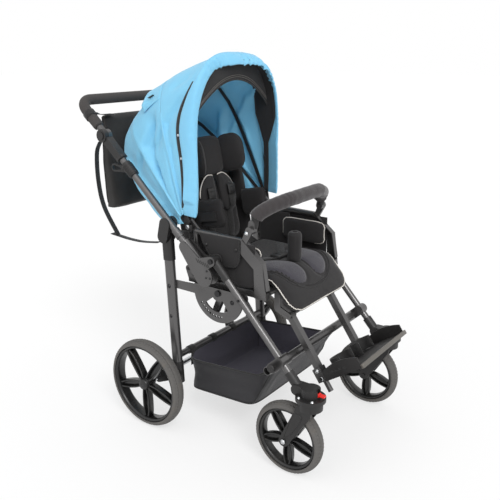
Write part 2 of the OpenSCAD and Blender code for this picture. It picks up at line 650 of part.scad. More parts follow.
module pommel() color(cloth_c) {
    translate([0, pommel_y, pan_z - 4]) cylinder(h = 60, d = pommel_post_d);
    translate([0, pommel_y, pommel_z]) rotate_extrude() polygon([[0, 0], [pommel_d / 2 - 4, 0], [pommel_d / 2, 8],
        [pommel_d / 2 - 1.5, pommel_h / 2], [pommel_d / 2, pommel_h - 10], [pommel_d / 2 - 7, pommel_h - 1], [0, pommel_h]]);
}
hip_front = -118;
hip_l = 176;
hip_h = 84;
module hip_pads() color(cloth_c) pair()
    translate([arm_x - arm_d / 2 - 10.6, hip_front + hip_l / 2, cushion_z + cushion_t + 4 + hip_h / 2]) rotate([90, 0, -90])
        pad(hip_l, hip_h, 17, 15);
guard_out = [[-62, arm_z + 8], [-137, tilt_z + 116], [-152, seat_rail_z]];
guard_in = [[-110, seat_rail_z], [-107, tilt_z + 95], [-58, arm_z - 36]];
module guard_plates() color(frame_c) pair() {
    slab(guard_x, guard_t) polygon(concat(guard_out, guard_in));
    slab(guard_x - 17, 17.5) polygon([guard_out[0], guard_out[1], guard_out[2] + [0, 28], guard_out[2] + [3, 28],
        guard_out[1] + [3, -1.4], guard_out[0] + [2, -2.4]]);
    side_rod(arm_x, [arm_front, arm_z], [arm_back, arm_z + 4], arm_d);
    side_rod(arm_x, [arm_back - 6, seat_rail_z + seat_rail_h + 0.7], [arm_back, arm_z + 4], arm_d - 3);
    difference() {
        slab(frame_x + 1, 8) capsule([arm_back - 3, arm_z + 4], canopy, 9, 12);
        cross(canopy, 0, main_x, pin_d);
    }
    difference() {
        slab(guard_x - 9, 9.5) capsule([-70, arm_z - 2], bumper_pin, 9, 12);
        cross(bumper_pin, 0, main_x, pin_d + 2 * fit);
    }
}
module side_panels() color(cloth_c) pair() slab(guard_x + guard_t + seat_gap, 2.6) {
    capsule([-36, arm_z - 62], [10, arm_z - 66], 22, 18);
    polygon([[-58, arm_z + 6], [-58, arm_z - 62], [-36, arm_z - 84], [12, arm_z - 84], [60, arm_z - 60], [94, arm_z + 6]]);
}
belt_z = cushion_z + cushion_t + 0.4;
module lap_belt() color(cloth_c) {
    translate([-26, -74, belt_z]) cube([52, 40, 13]);
    pair() translate([20, -60, belt_z]) rotate([0, 0, 38]) cube([148, 26, 2.2]);
}
// Bumper: both ends turn on pins in the arm brackets
bumper_x = guard_x - 9;
bumper_half = [[bumper_x - 8, -90, bumper_pin[1] + 16], [bumper_x - 19, -98, bumper_pin[1] + 41],
    [bumper_x - 45, -121, bumper_pin[1] + 64], [bumper_x - 96, -142, bumper_pin[1] + 77], [64, -151, bumper_pin[1] + 81]];
bumper_path = concat(bumper_half, [for (i = [len(bumper_half) - 1 : -1 : 0])
    [-bumper_half[i][0], bumper_half[i][1], bumper_half[i][2]]]);
function middle(a, b) = (a + b) / 2;
bumper_fine = [for (i = [0 : len(bumper_path) - 2]) each [bumper_path[i], middle(bumper_path[i], bumper_path[i + 1])]];
sleeve_path = [for (i = [2 : len(bumper_fine) - 1]) bumper_fine[i]];
module bumper_bar() color(frame_c) {
    sweep(bumper_path, 8, 10, [0, 0, 1]);
    pair() {
        slab(bumper_x - 15.5, 15) capsule(bumper_pin, [bumper_half[0][1], bumper_half[0][2] + 4], 12, 10);
        cross(bumper_pin, bumper_x - 10, bumper_x + 9, pin_d);
    }
}
module bumper_sleeve() color(foam_c) difference() {
    skin([for (i = [0 : len(sleeve_path) - 1])
        ring_at(sleeve_path[i], heading(sleeve_path, i), bumper_d / 2 - (i % 2) * 1.2, 14, [0, 0, 1])]);
    sweep(concat([2 * sleeve_path[0] - sleeve_path[1]], sleeve_path,
        [2 * sleeve_path[len(sleeve_path) - 1] - sleeve_path[len(sleeve_path) - 2]]), 8.8, 10, [0, 0, 1]);
}

// Back, headrest and harness
back_foot = recline + [14, 24];
module on_back() translate(at_x(0, back_foot)) rotate([90 - back_lean, 0, 0]) children();
module back_shell() color(plastic_c) {
    difference() {
        on_back() translate([-back_w / 2, -14, -back_pad_t - 12]) cube([back_w, back_h + 44, 8]);
        cross(recline, -back_w, back_w, tilt_bolt_d);
    }
    on_back() for (s = [-1, 1]) difference() {
        translate([s * 60, back_h - 90, -back_pad_t - 20]) rotate([-90, 0, 0]) cylinder(h = 118, d = 18);
        translate([s * 60, back_h - 91, -back_pad_t - 20]) rotate([-90, 0, 0]) cylinder(h = 120, d = pin_d + 2 * fit);
    }
    pair() {
        cross(recline, back_w / 2 - 30, frame_x + frame_t, tilt_bolt_d);
        slab(back_w / 2 - 12, 12) capsule(recline, back_foot + [back_pad_t + 10, 8], 13, 16);
        on_back() translate([back_pad_w / 2 + 2, 107, -back_pad_t - 6]) cube([5, 30, back_pad_t + 96]);
    }
}
module back_cushion() color(cloth_c) on_back()
    translate([0, back_h / 2 + 2, -back_pad_t / 2 - 4.7]) pad(back_pad_w, back_h, back_pad_t / 2, back_pad_t / 2 - 1);
module lateral_pads() color(cloth_c) on_back() pair()
    translate([back_pad_w / 2 + 1.7 - 14, 122, 62]) rotate([0, -90, 0]) pad(102, 84, 13, 14);
module shoulder_straps() color(cloth_c) on_back() pair() {
    translate([34, 12, -4.8]) cube([30, back_h - 20, 2.2]);
    translate([31, back_h * 0.7, -2.6]) cube([36, 34, 5]);
}
module headrest() color(cloth_c) on_back() {
    y = back_h + 10 + head_h / 2;
    translate([0, y, -back_pad_t / 2]) pad(head_w - 40, head_h, 16, 16);
    pair() translate([head_w / 2 - 23, y, 15]) rotate([0, -66, 0]) pad(100, head_h - 8, 14, 14);
    for (s = [-1, 1]) {
        translate([s * 60, back_h - 80, -back_pad_t - 20]) rotate([-90, 0, 0]) cylinder(h = 150, d = pin_d);
        translate([s * 60 - 8, back_h + 32, -back_pad_t - 20 - pin_d / 2]) cube([16, 36, 40]);
    }
}

// Leg support and footplate
clamp_t = 44;
module on_calf() translate(at_x(0, knee)) rotate([knee_angle, 0, 0]) children();
module legrest_frame() color(frame_c) difference() {
    union() {
        on_calf() pair() {
            translate([leg_tube_track / 2 - leg_tube_w / 2, -8, -leg_tube_w / 2]) cube([leg_tube_w, calf_l - 12, leg_tube_w]);
            translate([leg_tube_track / 2 - 13, calf_l - 34, -14]) cube([28, clamp_t, 30]);
            translate([leg_tube_track / 2, calf_l, 0]) rotate([-90, 0, 0]) cylinder(h = 46, d = 17);
        }
        cross(knee, -leg_tube_track / 2 - leg_tube_w / 2 - 6, leg_tube_track / 2 + leg_tube_w / 2 + 6, pin_d);
    }
    cross(heel, -leg_tube_track, leg_tube_track, pin_d + 2 * fit);
}
module on_foot() translate(at_x(0, heel)) rotate([foot_angle, 0, 0]) mirror([0, 0, 1]) children();
module footplate() color(plastic_c) {
    inner = leg_tube_track / 2 - 14;
    cross(heel, -foot_w / 2 + 8, foot_w / 2 - 8, pin_d);
    cross(heel, -inner, inner, 22);
    on_foot() {
        translate([-inner, 0, -9]) cube([2 * inner, 40, 6]);
        translate([-foot_w / 2, 24, -9]) cube([foot_w, foot_l - 30, 6]);
        translate([-foot_w / 2, foot_l - 8, -foot_lip]) cube([foot_w, 8, foot_lip + 2]);
        translate([-foot_w / 2 + 14, 78, -3.5]) cube([foot_w - 28, foot_l - 90, foot_mat + 0.5]);
        pair() translate([foot_w / 2 - 4, 0, 0]) rotate([90, 0, 90]) linear_extrude(4) intersection() {
            translate([foot_l / 2 + 12, -150]) circle(185, $fn = 96);
            translate([24, -6]) square([foot_l - 32, 60]);
        }
    }
}
module heel_loops() color(cloth_c) on_foot() for (s = [-1, 1]) translate([s * foot_w * 0.212, 60, -3 + seat_gap])
    difference() {
        linear_extrude(42) stadium(76, 88);
        translate([0, 0, -1]) linear_extrude(44) stadium(71, 83);
        translate([-60, 12, -1]) cube([120, 60, 44]);
    }

// Canopy: every bow and every line of the cloth is an arch that starts and ends at the hinge
front_bow_a = 93;
mid_bow_a = 69;
rear_bow_a = 45;
hem_side_a = -20;
hem_back_a = 9;
arch_rise = [0.6, 3, 7, 13, 21, 31, 43, 57, 73];
arch_steps = concat(arch_rise, [90], [for (i = [len(arch_rise) - 1 : -1 : 0]) 180 - arch_rise[i]]);
arch_last = len(arch_steps) - 1;
// Above the hinge the arches draw in a little, so that their feet can lie side by side
function draw_in(r) = 1 - 0.05 * min(1, max(0, (r - 50) / 150));
function arch_point(a, reach, half, t) = let (r = reach * pow(sin(t), 0.6),
    x = half * draw_in(r) * signed_power(cos(t), 0.6), q = canopy + r * along(a)) [x, q[0], q[1]];
function strip_ring(c, d, t, w, up) = let (u = cross(up, d) / norm(cross(up, d)), v = cross(d, u))
    [c + u * t / 2 + v * w / 2, c + u * t / 2 - v * w / 2, c - u * t / 2 - v * w / 2, c - u * t / 2 + v * w / 2];
module bow(a, reach, x) {
    run = concat([at_x(x, at(canopy, a, 13))], [for (j = [1 : arch_last - 1]) arch_point(a, reach, x, arch_steps[j])],
        [at_x(-x, at(canopy, a, 13))]);
    skin([for (i = [0 : len(run) - 1]) strip_ring(run[i], heading(run, i), bow_thin, bow_w, [0, -sin(a), cos(a)])]);
}
module bow_feet(a, x, t) pair() slab(x - t / 2, t) capsule(canopy, at(canopy, a, 16), 10, 7);
bow_step = 4.5;
rear_bow_x = frame_x + 11.5;
mid_bow_x = rear_bow_x + bow_step;
front_bow_x = mid_bow_x + bow_step;
bow_thin = bow_step - 0.6;
module canopy_rear_bow() color(plastic_c) {
    bow(rear_bow_a, rear_reach, rear_bow_x);
    difference() {
        bow_feet(rear_bow_a, rear_bow_x, bow_thin);
        cross(canopy, -main_x, main_x, pin_d);
    }
    pair() cross(canopy, frame_x - 1, front_bow_x + 3.2, pin_d);
    pair() cross(canopy, frame_x - 3, frame_x + 1 - seat_gap, pin_d + 6);
}
module canopy_bow(a, reach, x) color(plastic_c) difference() {
    union() {
        bow(a, reach, x);
        bow_feet(a, x, bow_thin);
    }
    cross(canopy, -main_x, main_x, pin_d + 2 * fit);
}
cloth_half = front_bow_x + 2.3;
cloth_lift = 4; // from the middle of a bow to the inside of the cloth
roll_t = 9; // extra thickness of the gathered roll along the front edge
front_rows = [6.5, 4.6, 2, -1, -4, -6.5, -12, -18, -23.4];
function flap_drop(d) = d < 29 ? 0.22 * d * d : 0.22 * 29 * 29 + 5 * (d - 29);
function cloth_reach(a) = a > mid_bow_a
    ? mid_reach + (front_reach - mid_reach) * (a - mid_bow_a) / (front_bow_a - mid_bow_a)
    : a > rear_bow_a ? rear_reach + (mid_reach - rear_reach) * (a - rear_bow_a) / (mid_bow_a - rear_bow_a)
    : rear_reach - flap_drop(max(0, rear_bow_a - 5 - a));
function roll(a) = let (u = (a - front_bow_a) / 6.4) abs(u) < 1 ? roll_t * sqrt(1 - u * u) : 0;
function cloth_ring(a, hem, f) = let (out = cloth_t + roll(a)) concat(
    [for (t = arch_steps) let (b = a + (hem_side_a + (hem_back_a - hem_side_a) * sin(t) - a) * f * hem)
        arch_point(b, cloth_reach(b) + cloth_lift + out, cloth_half + cloth_t * 0.5, t)],
    [for (k = [arch_last : -1 : 0]) let (t = arch_steps[k],
            b = a + (hem_side_a + (hem_back_a - hem_side_a) * sin(t) - a) * f * hem)
        arch_point(b, cloth_reach(b) + cloth_lift, cloth_half, t)]);
module canopy_front_cloth() color(canopy_c) skin([for (d = front_rows) cloth_ring(front_bow_a + d, 0, 0)]);
rear_rows = 11;
module canopy_rear_cloth() color(canopy_c)
    skin([for (i = [0 : rear_rows]) cloth_ring(mid_bow_a + 0.1, 1, i / rear_rows)]);

in_place() lower_tubes();
in_place() caster_housings();
in_place() fold_knuckles();
in_place() rear_legs();
in_place() leg_saddles();
in_place() sector_plates();
in_place() rear_rail();
in_place() front_cross_tube();
in_place() axle_brackets();
in_place() rear_axle_shaft();
in_place() basket();
in_place() chassis_bolts();
in_place() upper_tubes();
in_place() fold_cheeks();
in_place() handle_hinges();
in_place() bag();
in_place() bag_loops();
in_place() bag_strap();
in_place() handle_bar();
in_place() handle_grip();
in_place() handle_button(1);  // handle_button_l
in_place() handle_button(-1);  // handle_button_r
in_place() trigger(1);  // trigger_l
in_place() trigger(-1);  // trigger_r
in_place() caster_fork(1);  // caster_fork_l
in_place() caster_fork(-1);  // caster_fork_r
in_place() lock_lever(1);  // lock_lever_l
in_place() lock_lever(-1);  // lock_lever_r
in_place() front_tyre(1);  // front_tyre_l
in_place() front_tyre(-1);  // front_tyre_r
in_place() front_rim(1);  // front_rim_l
in_place() front_rim(-1);  // front_rim_r
in_place() rear_tyre(1);  // rear_tyre_l
in_place() rear_tyre(-1);  // rear_tyre_r
in_place() rear_rim(1);  // rear_rim_l
in_place() rear_rim(-1);  // rear_rim_r
in_place() brake_bar();
in_place() seat_frame();
in_place() seat_cushion();
in_place() pommel();
in_place() hip_pads();
in_place() guard_plates();
in_place() side_panels();
in_place() lap_belt();
in_place() bumper_bar();
in_place() bumper_sleeve();
in_place() back_shell();
in_place() back_cushion();
in_place() lateral_pads();
in_place() shoulder_straps();
in_place() headrest();
in_place() legrest_frame();
in_place() footplate();
in_place() heel_loops();
in_place() canopy_rear_bow();
in_place() canopy_bow(mid_bow_a, mid_reach, mid_bow_x);  // canopy_mid_bow
in_place() canopy_bow(front_bow_a, front_reach, front_bow_x);  // canopy_front_bow
in_place() canopy_front_cloth();
in_place() canopy_rear_cloth();
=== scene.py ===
"""Finishes the special needs buggy on its CAD frame: cloth, padding, wheels, fittings and a studio."""

import json
from math import acos, atan2, copysign, cos, degrees, exp, hypot, pi, radians, sin, sqrt

import bmesh
import bpy
from bpy.props import FloatProperty, FloatVectorProperty, IntProperty, PointerProperty
from mathutils import Matrix, Vector, noise
from mathutils.bvhtree import BVHTree


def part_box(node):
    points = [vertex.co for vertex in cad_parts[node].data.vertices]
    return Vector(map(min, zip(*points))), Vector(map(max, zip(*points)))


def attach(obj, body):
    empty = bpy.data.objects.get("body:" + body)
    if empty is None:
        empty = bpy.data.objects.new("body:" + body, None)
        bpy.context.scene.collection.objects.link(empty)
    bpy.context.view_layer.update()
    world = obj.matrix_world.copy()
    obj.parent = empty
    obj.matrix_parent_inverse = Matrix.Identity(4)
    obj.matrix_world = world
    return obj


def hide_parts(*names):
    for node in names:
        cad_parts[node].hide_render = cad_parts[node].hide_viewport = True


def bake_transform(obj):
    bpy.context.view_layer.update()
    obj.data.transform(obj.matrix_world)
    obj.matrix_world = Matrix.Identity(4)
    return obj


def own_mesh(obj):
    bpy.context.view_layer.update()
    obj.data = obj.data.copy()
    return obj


bl_info = {
    "name": "Special needs buggy finish",
    "version": (1, 0, 0),
    "blender": (4, 5, 0),
    "location": "View3D > Sidebar > Buggy",
    "description": "Builds the cloth, padding, wheels and studio of the buggy on its CAD frame",
    "category": "Object",
}

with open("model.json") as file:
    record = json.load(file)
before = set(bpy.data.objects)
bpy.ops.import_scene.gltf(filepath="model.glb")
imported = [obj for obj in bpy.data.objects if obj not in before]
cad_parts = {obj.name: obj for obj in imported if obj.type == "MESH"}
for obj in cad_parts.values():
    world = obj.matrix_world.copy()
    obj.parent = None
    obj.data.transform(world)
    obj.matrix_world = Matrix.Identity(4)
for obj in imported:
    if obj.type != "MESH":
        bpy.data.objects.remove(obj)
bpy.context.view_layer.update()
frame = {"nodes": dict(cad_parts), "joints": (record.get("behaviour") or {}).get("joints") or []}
JOINTS = {joint["name"]: joint for joint in frame["joints"]}
SIDES = (("l", 1), ("r", -1))


def pivot(joint):
    """Where a hinge of the frame turns, in metres."""
    return Vector(JOINTS[joint]["pos_m"])


# Own frames of the leaning sub-assemblies: x across, y along the piece, z out of its face
BACK = Matrix.Translation(pivot("back_recline") + Vector((0, 0.014, 0.024))) @ Matrix.Rotation(
    radians(78.5), 4, "X"
)
HANDLE = Matrix.Translation(pivot("handle_tilt")) @ Matrix.Rotation(radians(41.0), 4, "X")
FOOT = Matrix.Translation(pivot("footplate_flip")) @ Matrix(
    ((1, 0, 0, 0), (0, -0.828, 0.5606, 0), (0, 0.5606, 0.828, 0), (0, 0, 0, 1))
)
CALF = Matrix.Translation(pivot("legrest_raise")) @ Matrix.Rotation(radians(234.9), 4, "X")


def linear(code):
    """A colour written as an sRGB hex value, as the linear numbers that Blender holds."""
    parts = [int(code[i : i + 2], 16) / 255 for i in (1, 3, 5)]
    return tuple(v / 12.92 if v <= 0.04045 else ((v + 0.055) / 1.055) ** 2.4 for v in parts)


def colour(name, description, code):
    """A colour property with its default written as hex."""
    return FloatVectorProperty(
        name=name, description=description, subtype="COLOR", size=3, min=0, max=1, default=linear(code)
    )


def length(name, description, metres, low, high):
    """A length property in metres."""
    return FloatProperty(
        name=name, description=description, default=metres, min=low, max=high, subtype="DISTANCE",
        unit="LENGTH",
    )


class BuggyColours(bpy.types.PropertyGroup):
    """Colours of the cloth, plastics and metal."""

    canopy: colour("Canopy", "Coated polyester of the hood", "#84CBEE")
    seat: colour("Seat cloth", "Charcoal woven cloth of the seat, back and pads", "#1D1B1C")
    thigh: colour("Thigh panels", "Lighter spacer cloth in the two leg troughs", "#403E45")
    piping: colour("Piping", "Pale piping along the edges of the pads", "#E5E0D8")
    sleeve: colour("Bumper sleeve", "Grey knitted sleeve of the bumper bar", "#383435")
    basket: colour("Basket", "Blue-black coated cloth of the basket", "#1F1E22")
    basket_inside: colour("Basket inside", "Uncoated grey-blue inside of the basket cloth", "#4E4C57")
    bag: colour("Bag", "Black-brown cloth of the bag behind the seat", "#1E1C1B")
    webbing: colour("Webbing", "Black polyester webbing", "#161515")
    frame: colour("Frame", "Satin graphite paint of the tubes", "#5C5B5B")
    plastic: colour("Plastic", "Black moulded nylon", "#1A1919")
    rim: colour("Rims", "Black plastic of the wheel rims", "#131313")
    tyre: colour("Tyres", "Grey foam tyres", "#5C5A58")
    foam: colour("Hand foam", "Foam on the push handle", "#403D3C")
    lever: colour("Levers", "Red caster lock levers", "#E0261D")


class BuggySizes(bpy.types.PropertyGroup):
    """Sizes of the soft and turned details."""

    piping: length("Piping", "Radius of the piping", 0.0017, 0.001, 0.004)
    webbing: length("Webbing", "Thickness of the webbing", 0.0022, 0.001, 0.004)
    voxel: length("Cloth cell", "Cell size of the stuffed cloth before it swells", 0.005, 0.004, 0.008)
    swell: length("Swell", "How far stuffed cloth may swell", 0.006, 0.002, 0.016)
    cloth: length("Hood cloth", "Thickness of the hood cloth", 0.0014, 0.0008, 0.003)
    spokes: IntProperty(name="Spokes", description="Twin spokes in a wheel", default=5, min=3, max=9)
    frames: IntProperty(
        name="Cloth frames", description="Frames that the stuffed cloth runs", default=20, min=5, max=40
    )


def colours():
    """The colour settings of the scene."""
    return bpy.context.scene.buggy_colours


def sizes():
    """The size settings of the scene."""
    return bpy.context.scene.buggy_sizes


# Materials


def add(tree, kind, inputs=None, output=0, **settings):
    """Adds a node with its properties, sets or links its inputs, and gives one of its outputs."""
    made = tree.nodes.new("ShaderNode" + kind)
    for key, value in settings.items():
        setattr(made, key, value)
    for key, value in (inputs or {}).items():
        if isinstance(value, bpy.types.NodeSocket):
            tree.links.new(value, made.inputs[key])
        else:
            made.inputs[key].default_value = value
    return made.outputs[output]


def start(name, base, rough, metal=0.0):
    """A new material, its tree, shader and object coordinates in metres; the first alone if it exists."""
    found = bpy.data.materials.get(name)
    if found:
        return found, None, None, None
    made = bpy.data.materials.new(name)
    made.use_nodes = True
    tree = made.node_tree
    shader = tree.nodes["Principled BSDF"]
    shader.inputs["Roughness"].default_value = rough
    shader.inputs["Metallic"].default_value = metal
    shader.inputs["Base Color"].default_value = (*base, 1)
    made.diffuse_color = (*base, 1)
    return made, tree, shader, add(tree, "TexCoord", output="Object")


def shade(base, share):
    """A colour made lighter or darker."""
    return (*[min(1, v * share) for v in base], 1)


def threads(tree, place, pitch):
    """Height of a plain weave: two sets of threads at a pitch in metres, crossing over any surface."""
    heights = []
    for direction in ((1, 0.15, 1), (0.15, 1, 1)):
        run = add(tree, "VectorMath", {0: place, 1: direction}, "Value", operation="DOT_PRODUCT")
        turn = add(tree, "Math", {0: run, 1: 2 * pi / pitch}, operation="MULTIPLY")
        heights.append(add(tree, "Math", {0: turn}, operation="SINE"))
    product = add(tree, "Math", {0: heights[0], 1: heights[1]}, operation="MULTIPLY")
    return add(tree, "MapRange", {0: product, 1: -1, 2: 1, 3: 0, 4: 1})


def dress(tree, shader, tone, cloud, rough, spread, height, strength, depth):
    """Links a surface's colour, uneven gloss and fine relief to its shader."""
    gloss = add(tree, "MapRange", {0: cloud, 1: 0.3, 2: 0.7, 3: rough - spread, 4: rough + spread})
    relief = add(tree, "Bump", {"Height": height, "Strength": strength, "Distance": depth})
    for key, source in (("Base Color", tone), ("Roughness", gloss), ("Normal", relief)):
        tree.links.new(source, shader.inputs[key])


def cloth(name, base, pitch, rough=0.85, sheen=0.25, low=0.82, high=1.2, depth=0.0005, strength=0.35):
    """Woven cloth: crossing threads with painted shade in their sunk parts, uneven dye, fibre sheen."""
    made, tree, shader, place = start(name, base, rough)
    if not tree:
        return made
    weave = threads(tree, place, pitch)
    cloud = add(tree, "TexNoise", {"Vector": place, "Scale": 14.0, "Detail": 5.0, "Roughness": 0.62})
    fibre = add(tree, "TexNoise", {"Vector": place, "Scale": 900.0, "Detail": 2.0})
    dyed = add(tree, "Mix", {0: cloud, 6: shade(base, low), 7: shade(base, high)}, 2, data_type="RGBA")
    # Painted shade: where the weave is sunk the cloth's own colour is drawn darker, as shade would fall
    # between the threads.
    raised = add(tree, "MapRange", {0: weave, 1: 0, 2: 1, 3: 0.0, 4: 1.0})
    woven = add(tree, "Mix", {0: raised, 6: shade(base, low * 0.8), 7: dyed}, 2, data_type="RGBA")
    tips = add(tree, "MapRange", {0: fibre, 1: 0.3, 2: 0.7, 3: 0.0, 4: 0.35})
    tone = add(tree, "Mix", {0: tips, 6: woven, 7: shade(base, high * 1.12)}, 2, data_type="RGBA")
    height = add(tree, "Math", {0: weave, 1: fibre}, operation="ADD")
    dress(tree, shader, tone, cloud, rough, 0.06, height, strength, depth)
    shader.inputs["Sheen Weight"].default_value = sheen
    shader.inputs["Sheen Roughness"].default_value = 0.45
    return made


def moulded(name, base, rough, grain, depth, metal=0.0, wear=1.9, dust=None):
    """Moulded or painted surface: fine grain, uneven gloss, lighter rubbed edges, and dust if given."""
    made, tree, shader, place = start(name, base, rough, metal)
    if not tree:
        return made
    fine = add(tree, "TexNoise", {"Vector": place, "Scale": grain, "Detail": 3.0, "Roughness": 0.55})
    cloud = add(tree, "TexNoise", {"Vector": place, "Scale": 22.0, "Detail": 5.0, "Roughness": 0.65})
    edge = add(tree, "NewGeometry", output="Pointiness")
    tone = add(tree, "Mix", {0: cloud, 6: shade(base, 0.86), 7: shade(base, 1.14)}, 2, data_type="RGBA")
    worn = add(tree, "MapRange", {0: edge, 1: 0.53, 2: 0.62, 3: 0.0, 4: 0.55})
    tone = add(tree, "Mix", {0: worn, 6: tone, 7: shade(base, wear)}, 2, data_type="RGBA")
    if dust:
        settled = add(tree, "MapRange", {0: cloud, 1: 0.52, 2: 0.74, 3: 0.0, 4: 0.6})
        tone = add(tree, "Mix", {0: settled, 6: tone, 7: (*dust, 1)}, 2, data_type="RGBA")
    dress(tree, shader, tone, cloud, rough, 0.07, fine, 0.3, depth)
    return made


def canopy_cloth():
    """PU-coated polyester: clear blue, soft sheen; threads at 1.6 mm, as the real 0.4 mm would not show."""
    made = cloth("Coated polyester, sky blue", colours().canopy, 0.0016, 0.62, 0.15, 0.94, 1.05, 0.0003, 0.2)
    shader = made.node_tree.nodes["Principled BSDF"]
    shader.inputs["Subsurface Weight"].default_value = 0.25
    shader.inputs["Subsurface Radius"].default_value = (1.0, 1.0, 1.0)
    shader.inputs["Subsurface Scale"].default_value = 0.004
    return made


def seat_cloth():
    """Charcoal woven polyester: matt, faintly heathered, threads drawn at 1.8 mm."""
    return cloth("Woven polyester, charcoal", colours().seat, 0.0018, 0.85, 0.16)


def thigh_cloth():
    """Spacer mesh of the thigh panels: lighter grey, open texture."""
    return cloth("Spacer mesh, grey", colours().thigh, 0.0026, 0.9, 0.3, 0.85, 1.15, 0.0007, 0.5)


def piping_cord():
    """Pale woven piping with a faint reflective sheen."""
    return cloth("Woven piping, pale", colours().piping, 0.0012, 0.6, 0.1, 0.9, 1.04)


def knit():
    """Grey jersey knit of the bumper sleeve: soft ribs."""
    return cloth("Jersey knit, grey", colours().sleeve, 0.0022, 0.92, 0.4)


def basket_cloth():
    """Coated Oxford cloth of the basket: blue-black, slightly shiny."""
    return cloth("Coated Oxford cloth, blue black", colours().basket, 0.0018, 0.66, 0.12, 0.8, 1.2)


def basket_lining():
    """Inside of the basket cloth: uncoated, lighter and duller than the outside."""
    return cloth("Oxford cloth, inside", colours().basket_inside, 0.0018, 0.9, 0.1, 0.85, 1.15)


def bag_cloth():
    """Plain polyester of the bag: brown-black, soft."""
    return cloth("Bag polyester, black", colours().bag, 0.0018, 0.8, 0.2)


def webbing():
    """Polyester webbing: tight ribs drawn at 2 mm."""
    return cloth("Polyester webbing, black", colours().webbing, 0.002, 0.7, 0.2, 0.8, 1.25, 0.0006, 0.5)


def visor_mesh():
    """Black lining of the hood's front: dull mesh."""
    return cloth("Lining mesh, black", linear("#1B1B1D"), 0.0022, 0.9, 0.2)


def stitch_thread():
    """Grey sewing thread of the visor's seam: pale against the black."""
    return cloth("Sewing thread, grey", linear("#6E6A66"), 0.0012, 0.8, 0.1)


def frame_paint():
    """Satin graphite powder coat: fine orange peel and a long soft highlight."""
    return moulded("Powder coat, satin graphite", colours().frame, 0.32, 700.0, 0.0003, 0.8, 1.3)


def nylon():
    """Glass-filled nylon mouldings: black with fine spark grain and rubbed edges."""
    return moulded("Moulded nylon, black", colours().plastic, 0.5, 1600.0, 0.0003)


def rim_plastic():
    """Smooth black plastic of the rims and forks: a little gloss, dust in places."""
    return moulded(
        "Moulded plastic, rim black", colours().rim, 0.33, 900.0, 0.0002, 0.0, 2.2, linear("#3A3835")
    )


def tyre_foam():
    """Foam rubber tyre: matt grey, scuffed, brown floor dust."""
    return moulded(
        "Foam rubber tyre, grey", colours().tyre, 0.86, 420.0, 0.0012, 0.0, 1.25, linear("#665F57")
    )


def hand_foam():
    """Closed-cell hand foam: dull, pitted skin."""
    return moulded("Closed-cell foam, grey", colours().foam, 0.9, 650.0, 0.0011, 0.0, 1.2)


def lever_red():
    """Glossy red lever plastic."""
    return moulded("Gloss plastic, red", colours().lever, 0.3, 1500.0, 0.0001, 0.0, 1.15)


def zinc():
    """Zinc-plated steel of bolts and rivets: bright with a brushed haze."""
    return moulded("Zinc-plated steel", linear("#C4C6C8"), 0.28, 1200.0, 0.0002, 1.0, 1.05)


def dark_steel():
    """Blackened steel of the chassis bolts: dark with a soft metal glint."""
    return moulded("Blackened steel", linear("#3A3A3B"), 0.34, 1200.0, 0.0002, 1.0, 1.2)


def aluminium():
    """Anodised aluminium of the foot strip: grey-brown with a soft highlight."""
    return moulded("Anodised aluminium", linear("#77746F"), 0.38, 1000.0, 0.0003, 1.0, 1.05)


# Mesh tools


def piece(name, points, faces, material, body, slot=None):
    """A new mesh object from points and faces, with its material and the body that it rides on; its slot is
    not used.
    """
    data = bpy.data.meshes.new(name)
    data.from_pydata([tuple(p) for p in points], [], faces)
    tidy = bmesh.new()
    tidy.from_mesh(data)
    bmesh.ops.recalc_face_normals(tidy, faces=tidy.faces)
    tidy.to_mesh(data)
    tidy.free()
    for face in data.polygons:
        face.use_smooth = True
    made = bpy.data.objects.new(name, data)
    bpy.context.scene.collection.objects.link(made)
    data.materials.append(material)
    if body:
        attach(made, body)
    return made


def bands(rows, columns, wrap_rows=False, wrap_columns=False):
    """Quads between rows of points."""
    faces = []
    for i in range(rows if wrap_rows else rows - 1):
        for j in range(columns if wrap_columns else columns - 1):
            a, b = i * columns + j, i * columns + (j + 1) % columns
            c, d = (i + 1) % rows * columns + (j + 1) % columns, (i + 1) % rows * columns + j
            faces.append((a, b, c, d))
    return faces


def capped(rings):
    """Points and faces of a run of closed rings with both ends closed by a middle point."""
    count = len(rings[0])
    points = [p for ring in rings for p in ring]
    faces = bands(len(rings), count, wrap_columns=True)
    for ring, first in ((rings[0], 0), (rings[-1], (len(rings) - 1) * count)):
        middle = sum((Vector(p) for p in ring), Vector()) / count
        points.append(middle)
        faces += [(first + j, first + (j + 1) % count, len(points) - 1) for j in range(count)]
    return points, faces


def looped(rings):
    """Points and faces of a run of closed rings that meets its own start."""
    return [p for ring in rings for p in ring], bands(len(rings), len(rings[0]), True, True)


def smooth_path(points, steps, closed=False):
    """A smooth line through points, each span cut into steps."""
    points = [Vector(p) for p in points]
    n, out = len(points), []
    for i in range(n if closed else n - 1):
        near = [points[k % n] if closed else points[min(max(k, 0), n - 1)] for k in (i - 1, i, i + 1, i + 2)]
        for k in range(steps):
            t = k / steps
            out.append(
                0.5 * (
                    2 * near[1] + (near[2] - near[0]) * t
                    + (2 * near[0] - 5 * near[1] + 4 * near[2] - near[3]) * t * t
                    + (3 * near[1] - near[0] - 3 * near[2] + near[3]) * t ** 3
                )
            )
    return out if closed else out + [points[-1]]


def headings(points, closed=False):
    """The direction of a line at each of its points."""
    n = len(points)
    out = []
    for i in range(n):
        a = points[(i - 1) % n] if closed else points[max(i - 1, 0)]
        b = points[(i + 1) % n] if closed else points[min(i + 1, n - 1)]
        out.append((b - a).normalized())
    return out


